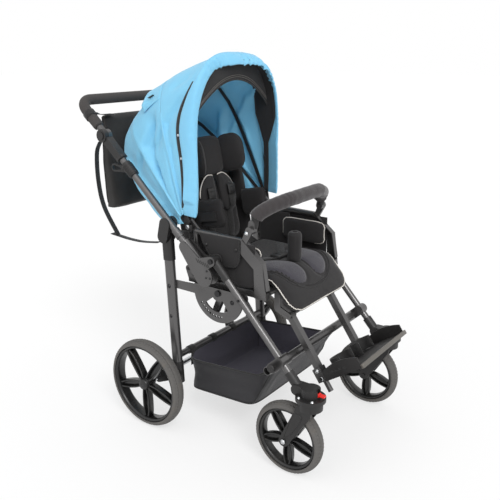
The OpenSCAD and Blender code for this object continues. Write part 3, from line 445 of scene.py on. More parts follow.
def tube_rings(points, radius, sides, closed=False):
    """Rings of a round bar along points, turned as little as possible from one to the next."""
    directions = headings(points, closed)
    side = directions[0].orthogonal().normalized()
    rings = []
    for i, (p, d) in enumerate(zip(points, directions)):
        side = (side - d * side.dot(d)).normalized()
        other = d.cross(side)
        r = radius(i / max(1, len(points) - 1)) if callable(radius) else radius
        rings.append([
            p + r * (cos(2 * pi * k / sides) * side + sin(2 * pi * k / sides) * other)
            for k in range(sides)
        ])
    return rings


def tube(name, points, radius, material, body, sides=10, closed=False):
    """A round bar or cord along points."""
    rings = tube_rings([Vector(p) for p in points], radius, sides, closed)
    return piece(name, *(looped if closed else capped)(rings), material, body)


def ribbon(name, points, across, width, thick, material, body, closed=False):
    """A flat strap along points with rounded edges, its width along a given direction."""
    points = [Vector(p) for p in points]
    rings = []
    for p, d in zip(points, headings(points, closed)):
        side = Vector(across)
        side = (side - d * side.dot(d)).normalized()
        out = d.cross(side)
        ring = []
        for u, v in (
            (-0.5, -0.25), (-0.47, -0.5), (0.47, -0.5), (0.5, -0.25), (0.5, 0.25), (0.47, 0.5), (-0.47, 0.5),
            (-0.5, 0.25),
        ):
            ring.append(p + side * width * u + out * thick * v)
        rings.append(ring)
    return piece(name, *(looped if closed else capped)(rings), material, body)


def turned(name, profile, centre, axis, material, body, segments=72, wobble=None, slot=None):
    """A turned solid: a closed profile of (radius, along) points about an axis through centre."""
    axis = Vector(axis).normalized()
    side = axis.orthogonal().normalized()
    other = axis.cross(side)
    rows = []
    for k in range(segments):
        a = 2 * pi * k / segments
        row = []
        for r, t in profile:
            r = r + (wobble(k, r, t) if wobble else 0)
            row.append(Vector(centre) + axis * t + r * (cos(a) * side + sin(a) * other))
        rows.append(row)
    return piece(name, *looped(rows), material, body, slot)


def block(name, low, high, matrix, round_by, material, body, slot=None):
    """A box with rounded edges in its own frame, for buckles, clamps and caps."""
    corners = [
        Vector((x, y, z)) for x in (low[0], high[0]) for y in (low[1], high[1]) for z in (low[2], high[2])
    ]
    faces = [(0, 1, 3, 2), (4, 6, 7, 5), (0, 4, 5, 1), (2, 3, 7, 6), (0, 2, 6, 4), (1, 5, 7, 3)]
    made = piece(name, [matrix @ c for c in corners], faces, material, body, slot)
    soft = made.modifiers.new("rounded", "BEVEL")
    soft.width = round_by
    soft.segments = 3
    return made


def touch(node, origin, direction):
    """Where a line first meets a CAD node, which lies in its place in its own mesh."""
    place = surface_of(frame["nodes"][node]).ray_cast(Vector(origin), Vector(direction))[0]
    if place is None:
        raise RuntimeError("no face of " + node + " on the line from " + str(tuple(origin)))
    return place


def bolt(name, centre, axis, diameter, material, body, height=0.0035):
    """A domed bolt head with a washer."""
    r = diameter / 2
    profile = [(0.0002, -0.001), (r * 1.3, -0.001), (r * 1.3, 0.0008), (r, 0.001), (r * 0.96, height * 0.5),
               (r * 0.7, height * 0.9), (r * 0.3, height), (0.0002, height)]
    return turned(name, profile, centre, axis, material, body, 20, slot="zinc_steel")


def signed_power(value, power):
    """A power that keeps the sign."""
    return copysign(abs(value) ** power, value)


def pad_edge(w, h, pull, t, square=0.42):
    """The outline of a pad, its sides drawn in between the corners."""
    x = w / 2 * signed_power(cos(t), square)
    y = h / 2 * signed_power(sin(t), square)
    return (
        x * (1 - pull * cos(pi * y / h) ** 2),
        y * (1 - pull * cos(pi * x / w) ** 2),
    )


def pad(name, w, h, front, back, matrix, material, body, pull=0.04, square=0.42):
    """A crowned pad in its own plane, and the line of its edge."""
    steps = [sin(pi / 2 * k / 9) for k in range(1, 10)]
    rises = [(s, (1 - s ** 3) ** 0.5) for s in steps]
    rings = []
    for s, z in [(s, front * r) for s, r in rises] + [(s, -back * r) for s, r in rises[-2::-1]]:
        ring = []
        for j in range(72):
            x, y = pad_edge(w, h, pull, 2 * pi * (j + 0.5) / 72, square)
            ring.append(matrix @ Vector((x * s, y * s, z)))
        rings.append(ring)
    made = piece(name, *capped(rings), material, body)
    edge = [
        matrix @ Vector((*pad_edge(w, h, pull, 2 * pi * (j + 0.5) / 72, square), 0)) for j in range(72)
    ]
    return made, edge


def bake(made):
    """Replaces a piece's mesh by what its modifiers show."""
    shown = made.evaluated_get(bpy.context.evaluated_depsgraph_get())
    data = bpy.data.meshes.new_from_object(shown)
    made.modifiers.clear()
    made.data = data
    for face in data.polygons:
        face.use_smooth = True


def swell(made, cap):
    """Runs stuffed cloth on a pad: remesh, pressure from inside, and a cap on how far a point may move."""
    cells = made.modifiers.new("cells", "REMESH")
    cells.mode = "VOXEL"
    cells.voxel_size = sizes().voxel
    bake(made)
    rest = [v.co.copy() for v in made.data.vertices]
    run = made.modifiers.new("stuffed", "CLOTH")
    run.settings.quality = 4
    run.settings.mass = 0.3
    run.settings.tension_stiffness = 20
    run.settings.compression_stiffness = 20
    run.settings.bending_stiffness = 1.5
    run.settings.use_pressure = True
    run.settings.uniform_pressure_force = 4
    run.settings.effector_weights.gravity = 0
    run.point_cache.frame_start = 1
    run.point_cache.frame_end = sizes().frames
    for f in range(1, sizes().frames + 1):
        bpy.context.scene.frame_set(f)
    bake(made)
    bpy.context.scene.frame_set(1)
    for v, r in zip(made.data.vertices, rest):
        move = v.co - r
        if move.length > cap:
            v.co = r + move * (cap / move.length)


def smooth_out(made):
    """One round of subdivision, kept as a modifier."""
    soft = made.modifiers.new("soft", "SUBSURF")
    soft.levels = 1
    soft.render_levels = 1


def thicken(made, thickness, offset=-1.0):
    """Gives a sheet its thickness, kept as a modifier."""
    skin = made.modifiers.new("cloth", "SOLIDIFY")
    skin.thickness = thickness
    skin.offset = offset
    return skin


def surface_of(made):
    """A search tree over a piece's own mesh."""
    data = made.data
    return BVHTree.FromPolygons([v.co for v in data.vertices], [tuple(p.vertices) for p in data.polygons])


def onto(tree, points, lift=0.0):
    """Points drawn onto the nearest place of a surface and lifted off it."""
    out = []
    for p in points:
        place, normal, _, _ = tree.find_nearest(Vector(p))
        out.append(place + normal * lift)
    return out


def stuffed(name, w, h, front, back, matrix, body, cap, **outline):
    """A pad of seat cloth swollen by the cloth run, its search tree and the line of its edge."""
    made, edge = pad(name, w, h, front, back, matrix, seat_cloth(), body, **outline)
    swell(made, cap)
    smooth_out(made)
    return made, surface_of(made), edge


def seam(name, tree, line, lift, radius, body, closed=False):
    """A sewn seam of seat cloth: a thin cord laid on a surface."""
    return tube(name, onto(tree, line, lift), radius, seat_cloth(), body, 8, closed)


def jitter(p, scale, seed):
    """A steady random value from -1 to 1 at a place."""
    return noise.noise(Vector((p[0] * scale + seed, p[1] * scale - seed * 1.7, p[2] * scale + seed * 0.6)))


def ease(f):
    """A smooth step from 0 to 1."""
    f = min(1.0, max(0.0, f))
    return f * f * (3 - 2 * f)


# Hood


class Hood:
    """The arches of the hood: every line starts and ends at the hinge and draws in a little above it."""

    front, middle, rear = 93.0, 69.0, 45.0
    front_reach, middle_reach, rear_reach = 0.487, 0.453, 0.437
    half, lift = 0.2188, 0.004
    # Angles of the front and rear edges of the front panel, and the run of the cloth over a bow
    front_edge, middle_edge, over = 91.0, 69.1, 1.1
    # How far behind the middle bow the rear cloth gives as the hood folds, and the roll behind the front bow
    rear_give, roll_give = 0.190, (0.120, 0.002)
    hinge = pivot("canopy_mid_fold")

    @classmethod
    def reach(cls, a):
        """Reach of the bows from the hinge at an angle."""
        if a > cls.middle:
            return cls.middle_reach + (cls.front_reach - cls.middle_reach) * (a - cls.middle) / (
                cls.front - cls.middle
            )
        if a > cls.rear:
            return cls.rear_reach + (cls.middle_reach - cls.rear_reach) * (a - cls.rear) / (
                cls.middle - cls.rear
            )
        d = max(0.0, cls.rear - 5 - a)
        return cls.rear_reach - (0.00022 * d * d if d < 29 else 0.185 + 0.005 * (d - 29))

    @classmethod
    def section(cls, a, t):
        """Distance from the hinge line and place across, for the arch at angle a, t degrees along it."""
        s, c = sin(radians(t)), cos(radians(t))
        r = (cls.reach(a) + cls.lift) * max(s, 0.0) ** 0.6
        draw_in = 1 - 0.05 * min(1.0, max(0.0, (r - 0.050) / 0.150))
        return r, cls.half * draw_in * signed_power(c, 0.6)

    @classmethod
    def point(cls, a, t, out=0.0, ahead=0.0):
        """A point of the arch, lifted square to it by one length and moved forward by another."""
        r, x = cls.section(a, t)
        step = min(0.5, t * 0.9, (180 - t) * 0.9)
        r0, x0 = cls.section(a, t - step)
        r1, x1 = cls.section(a, t + step)
        run = hypot(r1 - r0, x1 - x0)
        r += out * (x0 - x1) / run
        x += out * (r1 - r0) / run
        s, c = sin(radians(a)), cos(radians(a))
        return Vector((x, cls.hinge.y + r * c - ahead * s, cls.hinge.z + r * s + ahead * c))

    @classmethod
    def hem(cls, t):
        """The angle of the rear hem along the arch."""
        return -20.0 + 29.0 * sin(radians(t))

    @classmethod
    def even(cls, count, low=0.5, high=179.5):
        """Places along an arch, evenly spaced by length."""
        fine = [low + (high - low) * k / 2000 for k in range(2001)]
        spots = [cls.section(cls.front, t) for t in fine]
        walked = [0.0]
        for a, b in zip(spots, spots[1:]):
            walked.append(walked[-1] + hypot(b[0] - a[0], b[1] - a[1]))
        out, k = [], 0
        for i in range(count):
            goal = walked[-1] * i / (count - 1)
            while k < 1999 and walked[k + 1] < goal:
                k += 1
            share = (goal - walked[k]) / max(1e-9, walked[k + 1] - walked[k])
            out.append(fine[k] + (fine[k + 1] - fine[k]) * share)
        return out

    @classmethod
    def roll_edges(cls, t):
        """How far the front roll reaches before and behind its bow; one side of it is drawn back."""
        r = cls.section(cls.front, t)[0]
        far = 0.044 + 0.011 * min(1.0, r / 0.47) ** 2
        near = 0.042 - 0.030 * ease((r - 0.06) / 0.30)
        behind = 0.006 + 0.040 * exp(-(((r - 0.30) / 0.12) ** 2))
        return far + (near - far) * ease((t - 75.0) / 40.0), behind


ARCH = Hood.even(129)


class BUGGY_OT_hood(bpy.types.Operator):
    """Builds the hood: gathered roll, front and rear cloth, zips, seam tape, lining, visor and rear flap."""

    bl_idname = "buggy.hood"
    bl_label = "Hood"

    # Creases over the sides: each from one place to another (y, z), then its half width and its depth
    creases = (
        (0.117, 0.715, 0.196, 0.849, 0.008, 0.0060),
        (0.196, 0.849, 0.229, 0.912, 0.009, 0.0070),
        (0.229, 0.912, 0.229, 0.992, 0.009, 0.0065),
        (0.129, 1.048, 0.212, 0.924, 0.008, 0.0055),
        (0.243, 0.974, 0.282, 0.858, 0.008, 0.0070),
        (0.330, 0.858, 0.158, 0.732, 0.011, 0.0060),
        (0.095, 1.059, 0.040, 1.117, 0.007, 0.0045),
        (0.150, 0.900, 0.104, 0.770, 0.008, 0.0045),
        (0.170, 0.719, 0.100, 0.704, 0.005, 0.0040),
        (0.154, 1.102, 0.113, 1.127, 0.009, 0.0040),
        (0.300, 0.800, 0.200, 0.730, 0.007, 0.0045),
        (0.178, 0.985, 0.150, 0.920, 0.007, 0.0035),
    )

    def execute(self, context):
        """Builds the pieces."""
        blue = canopy_cloth()
        roll = self.roll(blue)
        front = self.panel("hood_front", Hood.front_edge, Hood.middle_edge, False, blue, 36)
        rear = self.panel("hood_rear", Hood.middle_edge, 0, True, blue, 72)
        self.tape("hood_seam_tape", Hood.middle, 0.010, 0.0030, 0.5, 179.5, blue, "canopy_mid")
        flap, tab = self.flap(blue)
        visor = self.visor()
        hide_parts("canopy_front_cloth")
        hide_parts("canopy_rear_cloth")
        mid = tuple(Hood.point(Hood.middle_edge, 90))
        ahead = tuple(Hood.point(Hood.front_edge, 90))
        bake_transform(front)
        for made in (rear, flap, tab):
            tuple(Hood.point(Hood.middle_edge, 90, 0, -Hood.rear_give))
            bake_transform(made)
        for made in (roll, self.lining()):
            behind, bow = (tuple(Hood.point(Hood.front, 90, 0, -gap)) for gap in Hood.roll_give)
            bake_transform(made)
        for name, side in SIDES:
            for made in self.zip(name, side):
                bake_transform(made)
        return {"FINISHED"}

    def roll(self, blue):
        """The puffed roll round the front bow: smooth outside, pinched by elastic along its front edge."""
        rings, count = [], 420
        arch = Hood.even(count, 0.36, 179.64)
        for k, t in enumerate(arch):
            ahead_half, behind_half = Hood.roll_edges(t)
            top = sin(radians(t))
            end = min(1.0, (min(k, count - 1 - k) + 1.5) / 7) ** 0.5
            beat = pi * k / 9.6 + 1.5 * sin(k * 0.13) + 1.0 * sin(k * 0.047)
            pinch = (1 - abs(sin(beat)) ** 0.6) * (0.65 + 0.35 * sin(k * 0.71))
            strength = 0.10 + 0.90 * ease((Hood.section(Hood.front, t)[0] - 0.37) / 0.09)
            drop = 0.005 + 0.015 * top ** 3
            ring = []
            for j in range(28):
                turn = 2 * pi * j / 28
                u, v = cos(turn), sin(turn)
                out = 0.0125 * v ** 0.75 if v > 0 else -0.0065 * abs(u) * (-v) ** 0.6
                ahead = (ahead_half if u > 0 else behind_half) * signed_power(u, 0.85)
                face = max(0.0, u) ** 1.5
                gather = pinch * strength * max(0.0, (u + 0.3) / 1.3) ** 1.3
                out -= 0.0095 * gather + drop * face
                ahead -= 0.0070 * gather
                soft = 0.0020 * jitter((t * 0.035 + 0.3 * u, u, v), 3.0, 2.2)
                p = Hood.point(Hood.front, t, 0.0012 + (out + soft) * end, ahead * (0.9 + 0.1 * end))
                over = abs(p.x) - 0.2214 - 0.6 * max(0.0, p.z - 0.755)
                if over > 0:
                    p.x -= copysign(0.9 * over, p.x)
                ring.append(p)
            rings.append(ring)
        return piece("hood_front_roll", *capped(rings), blue, None)

    def crease(self, p, a, t):
        """Depth of the creases over the hood's sides: steep on one side, dying out over the top."""
        s = sin(radians(t))
        depth = 0.0
        for y0, z0, y1, z1, width, deep in self.creases:
            run = hypot(y1 - y0, z1 - z0)
            along = ((p.y - y0) * (y1 - y0) + (p.z - z0) * (z1 - z0)) / run
            off = ((p.y - y0) * (z1 - z0) - (p.z - z0) * (y1 - y0)) / run + 0.006 * jitter(p, 14.0, 5.5)
            past = max(0.0, -along, along - run)
            broad = width * (2.6 if off > 0 else 0.9)
            depth -= deep * exp(-((off / broad) ** 2) - (past / 0.022) ** 2)
        for bow in (Hood.middle, Hood.rear):
            depth *= 1 - 0.9 * exp(-(((a - bow) / 2.2) ** 2))
        ridge = 0.0035 * exp(-(((a - Hood.rear) / 1.6) ** 2)) * max(0.0, 1 - s ** 6)
        return (2.0 * depth * max(0.0, 1 - s ** 7) + ridge) * min(1.0, Hood.section(a, t)[0] / 0.08)

    def panel(self, name, a0, a1, to_hem, blue, rows):
        """A panel between two arches, or down to the hem: slack between the bows, creased over the sides."""
        points = []
        for i in range(rows + 1):
            f = i / rows
            for t in ARCH:
                a = a0 + ((Hood.hem(t) if to_hem else a1) - a0) * f
                p = Hood.point(a, t, 0.0012)
                s = sin(radians(t))
                if not to_hem:
                    sag = -0.003 * sin(pi * f) ** 2
                elif a > Hood.rear:
                    sag = -0.005 * sin(pi * (a - Hood.rear) / (Hood.middle - Hood.rear + 0.2)) ** 2
                else:
                    drop = min(1.0, (Hood.rear - a) / 20)
                    sag = 0.0035 * drop * sin(7.0 * cos(radians(t)) * pi + 2 * p.z)
                fold = 0.0034 * jitter(p, 7.0, 3.1) + 0.0014 * jitter(p, 26.0, 8.4)
                low = max(0.0, 1 - Hood.section(a, t)[0] / 0.13)
                ruck = 0.0024 * low * jitter(p, 75.0, 1.6)
                if not to_hem:
                    fold = fold * 0.3
                lift = (sag + fold) * min(1.0, 2.2 * s) + self.crease(p, a, t) + ruck
                points.append(Hood.point(a, t, 0.0022 + lift))
        made = piece(name, points, bands(rows + 1, len(ARCH)), blue, None)
        thicken(made, sizes().cloth, 1.0)
        return made

    def tape(self, name, a, width, out, low, high, material, body):
        """A flat tape sewn along a part of an arch."""
        arch = Hood.even(100, low, high)
        rows = [
            [Hood.point(a, t, out + lift, width * u) for t in arch]
            for u, lift in (
                (-0.5, -0.0006), (-0.4, 0.0006), (0.4, 0.0006), (0.5, -0.0006), (0.4, -0.0018),
                (-0.4, -0.0018),
            )
        ]
        return piece(name, [p for row in rows for p in row], bands(6, len(arch), True), material, body)

    def zip(self, name, side):
        """The dark zip behind the roll on one side, widest in the middle, with its two sliders."""
        rows, count = [], 70
        low, high = (0.9, 50.0) if side > 0 else (130.0, 179.1)
        arch = Hood.even(count, low, high)
        for u, lift in (
            (-1, -0.0004), (-0.8, 0.0008), (0, 0.0012), (0.8, 0.0008), (1, -0.0004), (0, -0.0016)
        ):
            row = []
            for k, t in enumerate(arch):
                f = k / (count - 1) if side > 0 else 1 - k / (count - 1)
                wide = 0.0016 + 0.0085 * sin(pi * min(1.0, f * 0.92 + 0.06)) ** 0.8
                row.append(
                    Hood.point(Hood.front, t, 0.0030 + lift, wide * u - Hood.roll_edges(t)[1] - 0.0050)
                )
            rows.append(row)
        points = [p for row in rows for p in row]
        made = [piece("hood_zip_" + name, points, bands(6, count, True), webbing(), None)]
        for k, t in enumerate((12.2, 20.4)):
            t = t if side > 0 else 180 - t
            stud = [
                (0.0002, -0.001), (0.0042, -0.001), (0.0042, 0.0006), (0.0034, 0.0020), (0.0016, 0.0027),
                (0.0002, 0.0028),
            ]
            spot = Hood.point(Hood.front, t, 0.0044, -Hood.roll_edges(t)[1] - 0.005)
            made.append(turned(f"hood_stud_{name}_{k}", stud, spot, (side, 0, 0), zinc(), None, 20))
        return made

    def lining(self):
        """The black lining inside the front roll: broad over the top, a tape down to each hinge."""
        arch, rows, points = Hood.even(121), 8, []
        for i in range(rows + 1):
            f = i / rows
            for t in arch:
                r = Hood.section(Hood.front, t)[0]
                broad = min(1.0, max(0.0, (r - 0.20) / 0.10))
                ahead, behind = 0.010 + 0.032 * broad, 0.009 + 0.034 * broad
                ahead = min(ahead, Hood.roll_edges(t)[0] - 0.008)
                points.append(
                    Hood.point(Hood.front, t, -0.0082 + 0.0006 * sin(9 * f), ahead - (ahead + behind) * f)
                )
        made = piece("hood_lining", points, bands(rows + 1, 121), visor_mesh(), None)
        thicken(made, 0.001)
        return made

    def flap(self, blue):
        """The loose rear edge of the top cloth, standing off behind the middle bow, with its black tab."""
        rows, arch = 16, Hood.even(61, 50.0, 130.0)
        points = []
        for i in range(rows + 1):
            f = i / rows
            for k, t in enumerate(arch):
                corner = abs(2 * k / 60 - 1)
                tent = ease((1 - corner) / 0.12)
                wave = 0.0024 * f * sin(k * 0.42) + 0.0015 * f * jitter((t * 0.05, f, 0), 2.0, 4.4)
                lift = 0.0035 + tent * ((0.004 + 0.016 * corner ** 3) * f * f + wave)
                points.append(Hood.point(68.0 - (9.0 + 3.0 * corner ** 3) * f, t, lift))
        made = piece("hood_rear_flap", points, bands(rows + 1, 61), blue, None)
        thicken(made, sizes().cloth, 1.0)
        line = [Hood.point(64.0 - 3.0 * k / 6, arch[-6], 0.0085 + 0.0006 * k) for k in range(7)]
        tab = ribbon("hood_rear_tab", line, (1, 0, 0), 0.012, 0.0018, webbing(), None)
        return made, tab

    def visor(self):
        """The black crescent that hangs in the hood's front, with a bound and twice stitched lower edge."""
        rows, columns, wide = 12, 72, 0.1915
        points, inner = [], []
        for i in range(rows + 1):
            f = i / rows
            for k in range(columns + 1):
                x = wide * (2 * k / columns - 1)
                c = (abs(x) / (Hood.half * 0.95)) ** (1 / 0.6)
                t = degrees(acos(min(1.0, c)))
                outer = Hood.section(Hood.front, t)[0] - 0.004
                low = 0.422 - 2.72 * x * x
                r = outer + (min(low, outer - 0.001) - outer) * f
                q = radians(93.6 + 0.8 * f)
                slack = 0.004 * sin(pi * f) + 0.0015 * jitter((x, r, 0), 16.0, 3.0)
                p = Vector((x, Hood.hinge.y + r * cos(q) - slack, Hood.hinge.z + r * sin(q)))
                points.append(p)
                if i == rows:
                    inner.append(p)
        made = piece("hood_visor", points, bands(rows + 1, columns + 1), visor_mesh(), "canopy_front")
        thicken(made, 0.001)
        tube("hood_visor_binding", inner, 0.0021, webbing(), "canopy_front", 8)
        tree = surface_of(made)
        for k, rise in enumerate((0.007, 0.013)):
            line = onto(tree, [p + Vector((0, -0.01, rise)) for p in inner[4:-4]], 0.0)
            line = [p + Vector((0, -0.0012, 0)) for p in line]
            tube(f"hood_visor_stitching_{k}", line, 0.0008, stitch_thread(), "canopy_front", 6)
        return made


# Seat and pads


class BUGGY_OT_seat(bpy.types.Operator):
    """Builds the seat cushion with its thigh panels and piping, hip pads, pommel and lap belt."""

    bl_idname = "buggy.seat"
    bl_label = "Seat"

    # The cushion's middle line: flat from rear to turn, bent over the front, then straight down by drop
    rear, turn, radius, bend, drop = 0.0562, -0.1980, 0.042, radians(50), 0.100
    mid, thick, wide, corner = 0.5463, 0.036, 0.350, 0.052
    # The seat pan's face, which the cushion lies flat on
    pan = 0.5285
    # The seam round both thigh panels: its centre along the cushion and its two half sizes
    seam, seam_long, seam_wide = 0.225, 0.116, 0.142

    def run(self, s):
        """A point of the cushion's middle line and its slope, s metres from the rear."""
        a = self.rear - self.turn
        if s < a:
            return self.rear - s, self.mid, 0.0
        q = min(self.bend, (s - a) / self.radius)
        past = s - a - self.radius * q
        y = self.turn - self.radius * sin(q) - past * cos(q)
        return y, self.mid - self.radius * (1 - cos(q)) - past * sin(q), q

    def at(self, s, x, height):
        """A point over the cushion's middle line."""
        y, z, q = self.run(s)
        return Vector((x, y - height * sin(q), z + height * cos(q)))

    def total(self):
        """Length of the cushion from its rear edge over the front and down."""
        return self.rear - self.turn + self.radius * self.bend + self.drop

    def half(self, s):
        """Half the cushion's width, narrower and round-cornered towards its front edge."""
        cut = max(0.0, s - self.total() + self.corner) / self.corner
        straight = self.wide / 2 * (1 - 0.04 * (s / self.total()) ** 4)
        return straight - self.corner * (1 - sqrt(max(0.0, 1 - cut * cut)))

    def run_at(self, p):
        """Length along the cushion of a place on it."""
        if p.y > self.turn:
            return self.rear - p.y
        q = atan2(self.turn - p.y, p.z - self.mid + self.radius)
        if q < self.bend:
            return self.rear - self.turn + self.radius * q
        y, z, _ = self.run(self.rear - self.turn + self.radius * self.bend)
        past = (y - p.y) * cos(self.bend) + (z - p.z) * sin(self.bend)
        return self.rear - self.turn + self.radius * self.bend + past

    def thigh(self, s, x):
        """How far inside a thigh panel a place lies: 1 in its middle, 0 at its seam, below 0 outside."""
        lean = (s - 0.240) * 0.25
        return 1 - ((s - 0.240) / 0.080) ** 2 - ((abs(x) - 0.074 + lean) / 0.052) ** 2

    def shaped(self, s, x):
        """Height added to the cushion's face: two puffed thigh panels in grooves, with a seam round both."""
        d = self.thigh(s, x)
        height = 0.0070 * max(0.0, min(1.0, d)) ** 0.55 - 0.0042 * exp(-((d / 0.20) ** 2))
        g = sqrt((x / self.seam_wide) ** 2 + ((s - self.seam) / self.seam_long) ** 2)
        if s > 0.17:
            height -= 0.0030 * exp(-(((g - 1) / 0.035) ** 2))
        return height

    def execute(self, context):
        """Builds the pieces."""
        total, columns, rings = self.total(), 60, []
        places = [(total - self.corner) * i / 56 for i in range(57)]
        places += [total - self.corner + 0.0518 * sin(pi / 2 * i / 14) for i in range(1, 15)]
        for s in places:
            half = self.half(s) - 0.002
            end = min(1.0, min(s, total - s) / 0.022 + 0.35)
            top, bottom = [], []
            for k in range(columns + 1):
                v = 2 * k / columns - 1
                x = half * signed_power(v, 0.9)
                e = max(0.0, 1 - abs(v) ** 6) ** 0.5
                h = (self.thick / 2 - 0.001) * (0.35 + 0.65 * e) * end
                top.append(self.at(s, x, h))
                bottom.append(self.at(s, x * 0.985, -h))
            rings.append(top + bottom[::-1])
        cushion = piece("seat_cushion_cover", *capped(rings), seat_cloth(), "seat")
        swell(cushion, 0.003)
        cushion.data.materials.append(thigh_cloth())
        for v in cushion.data.vertices:
            if v.co.z < self.pan + 0.0003 and v.co.y > self.turn:
                v.co.z = self.pan
        moves = []
        for v in cushion.data.vertices:
            y, z, q = self.run(self.run_at(v.co))
            outward = Vector((0, -sin(q), cos(q)))
            face = v.normal.dot(outward) > 0.2 and (v.co - Vector((v.co.x, y, z))).dot(outward) > 0
            moves.append(outward * self.shaped(self.run_at(v.co), v.co.x) if face else Vector())
        for v, move in zip(cushion.data.vertices, moves):
            v.co += move
        for face in cushion.data.polygons:
            if self.thigh(
                self.run_at(face.center), face.center.x
            ) > 0.06 and face.normal.z - face.normal.y > 0.2:
                face.material_index = 1
        smooth_out(cushion)
        tree = surface_of(cushion)
        loop = [self.at(s, self.half(s) + 0.004, 0.012) for s in places[8:]]
        line = loop + [Vector((-p.x, p.y, p.z)) for p in loop[::-1]]
        tube("seat_piping", onto(tree, smooth_path(line, 2), 0.0012), sizes().piping, piping_cord(), "seat")
        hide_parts("seat_cushion")
        for k, size in enumerate((0.972, 1.030)):
            line = []
            for i in range(81):
                a = pi * (-0.16 + 1.32 * i / 80)
                along = self.seam + self.seam_long * size * sin(a)
                line.append(self.at(along, self.seam_wide * size * cos(a), 0.030))
            seam(f"seat_seam_{k}", tree, line, 0.0002, 0.0013, "seat")
        self.hips()
        self.pommel()
        self.belt()
        return {"FINISHED"}

    def hips(self):
        """The pads on the inner sides of the arm rails."""
        low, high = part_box("hip_pads")
        middle = (low + high) / 2
        for name, side in SIDES:
            x = side * (high.x - 0.0155)
            facing = Matrix.Rotation(-side * pi / 2, 4, "Z") @ Matrix.Rotation(pi / 2, 4, "X")
            turn = Matrix.Translation((x, middle.y, middle.z)) @ facing
            made, tree, edge = stuffed("hip_pad_" + name, 0.172, 0.080, 0.014, 0.012, turn, "seat", 0.002)
            top = [p for p in edge if p.z > middle.z - 0.024 or p.y < middle.y - 0.04]
            top.sort(key=lambda p: atan2(p.z - middle.z + 0.03, -(p.y - middle.y)))
            tube("hip_piping_" + name, onto(tree, top, 0.0004), sizes().piping, piping_cord(), "seat", 8)
            seam("hip_seam_" + name, tree, edge, -0.0006, 0.0016, "seat", True)
            if side > 0:
                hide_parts("hip_pads")

    def pommel(self):
        """The stuffed pommel between the legs, on its post."""
        low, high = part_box("pommel")
        y = (low.y + high.y) / 2
        z0, z1 = 0.5663, high.z
        r, h = (high.x - low.x) / 2, z1 - z0
        profile = [
            (0.0004, 0), (r * 0.72, 0), (r * 0.92, 0.003), (r, 0.012), (r * 0.955, h * 0.3),
            (r * 0.97, h * 0.55), (r, h - 0.018), (r * 0.93, h - 0.007), (r * 0.7, h - 0.0015), (0.0004, h),
        ]

        def welts(k, radius, along):
            """Four sunk seams down the side."""
            return -0.0012 if k % 12 == 0 and 0.006 < along < h - 0.006 and radius > r * 0.6 else 0

        made = turned("pommel_cover", profile, (0, y, z0), (0, 0, 1), seat_cloth(), "pommel", 48, welts)
        smooth_out(made)
        tall = z0 - low.z + 0.002
        post = [(0.0004, 0), (0.007, 0), (0.007, tall), (0.0004, tall)]
        turned("pommel_post", post, (0, y, low.z), (0, 0, 1), nylon(), "pommel", 32)
        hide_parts("pommel")

    def belt(self):
        """The lap belt: two webbing arms laid over the cushion to a buckle."""
        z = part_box("lap_belt")[0].z
        for name, side in SIDES:
            line = [
                (side * 0.016, -0.136, z + 0.0075), (side * 0.034, -0.120, z + 0.0035),
                (side * 0.075, -0.088, z + 0.0015), (side * 0.11, -0.062, z + 0.0015),
                (side * 0.135, -0.042, z + 0.0017),
            ]
            made = ribbon(
                "lap_strap_" + name, smooth_path(line, 8), (0.6 * side, -0.78, 0), 0.026, sizes().webbing,
                webbing(), "seat",
            )
            if side > 0:
                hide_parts("lap_belt")
        here = Matrix.Translation((0, -0.131, z))
        block("lap_buckle", (-0.026, -0.019, 0.0002), (0.026, 0.019, 0.0125), here, 0.004, nylon(), "seat")
        block(
            "lap_buckle_button", (-0.008, -0.010, 0.0115), (0.008, 0.010, 0.0145), here, 0.0015, nylon(),
            "seat",
        )


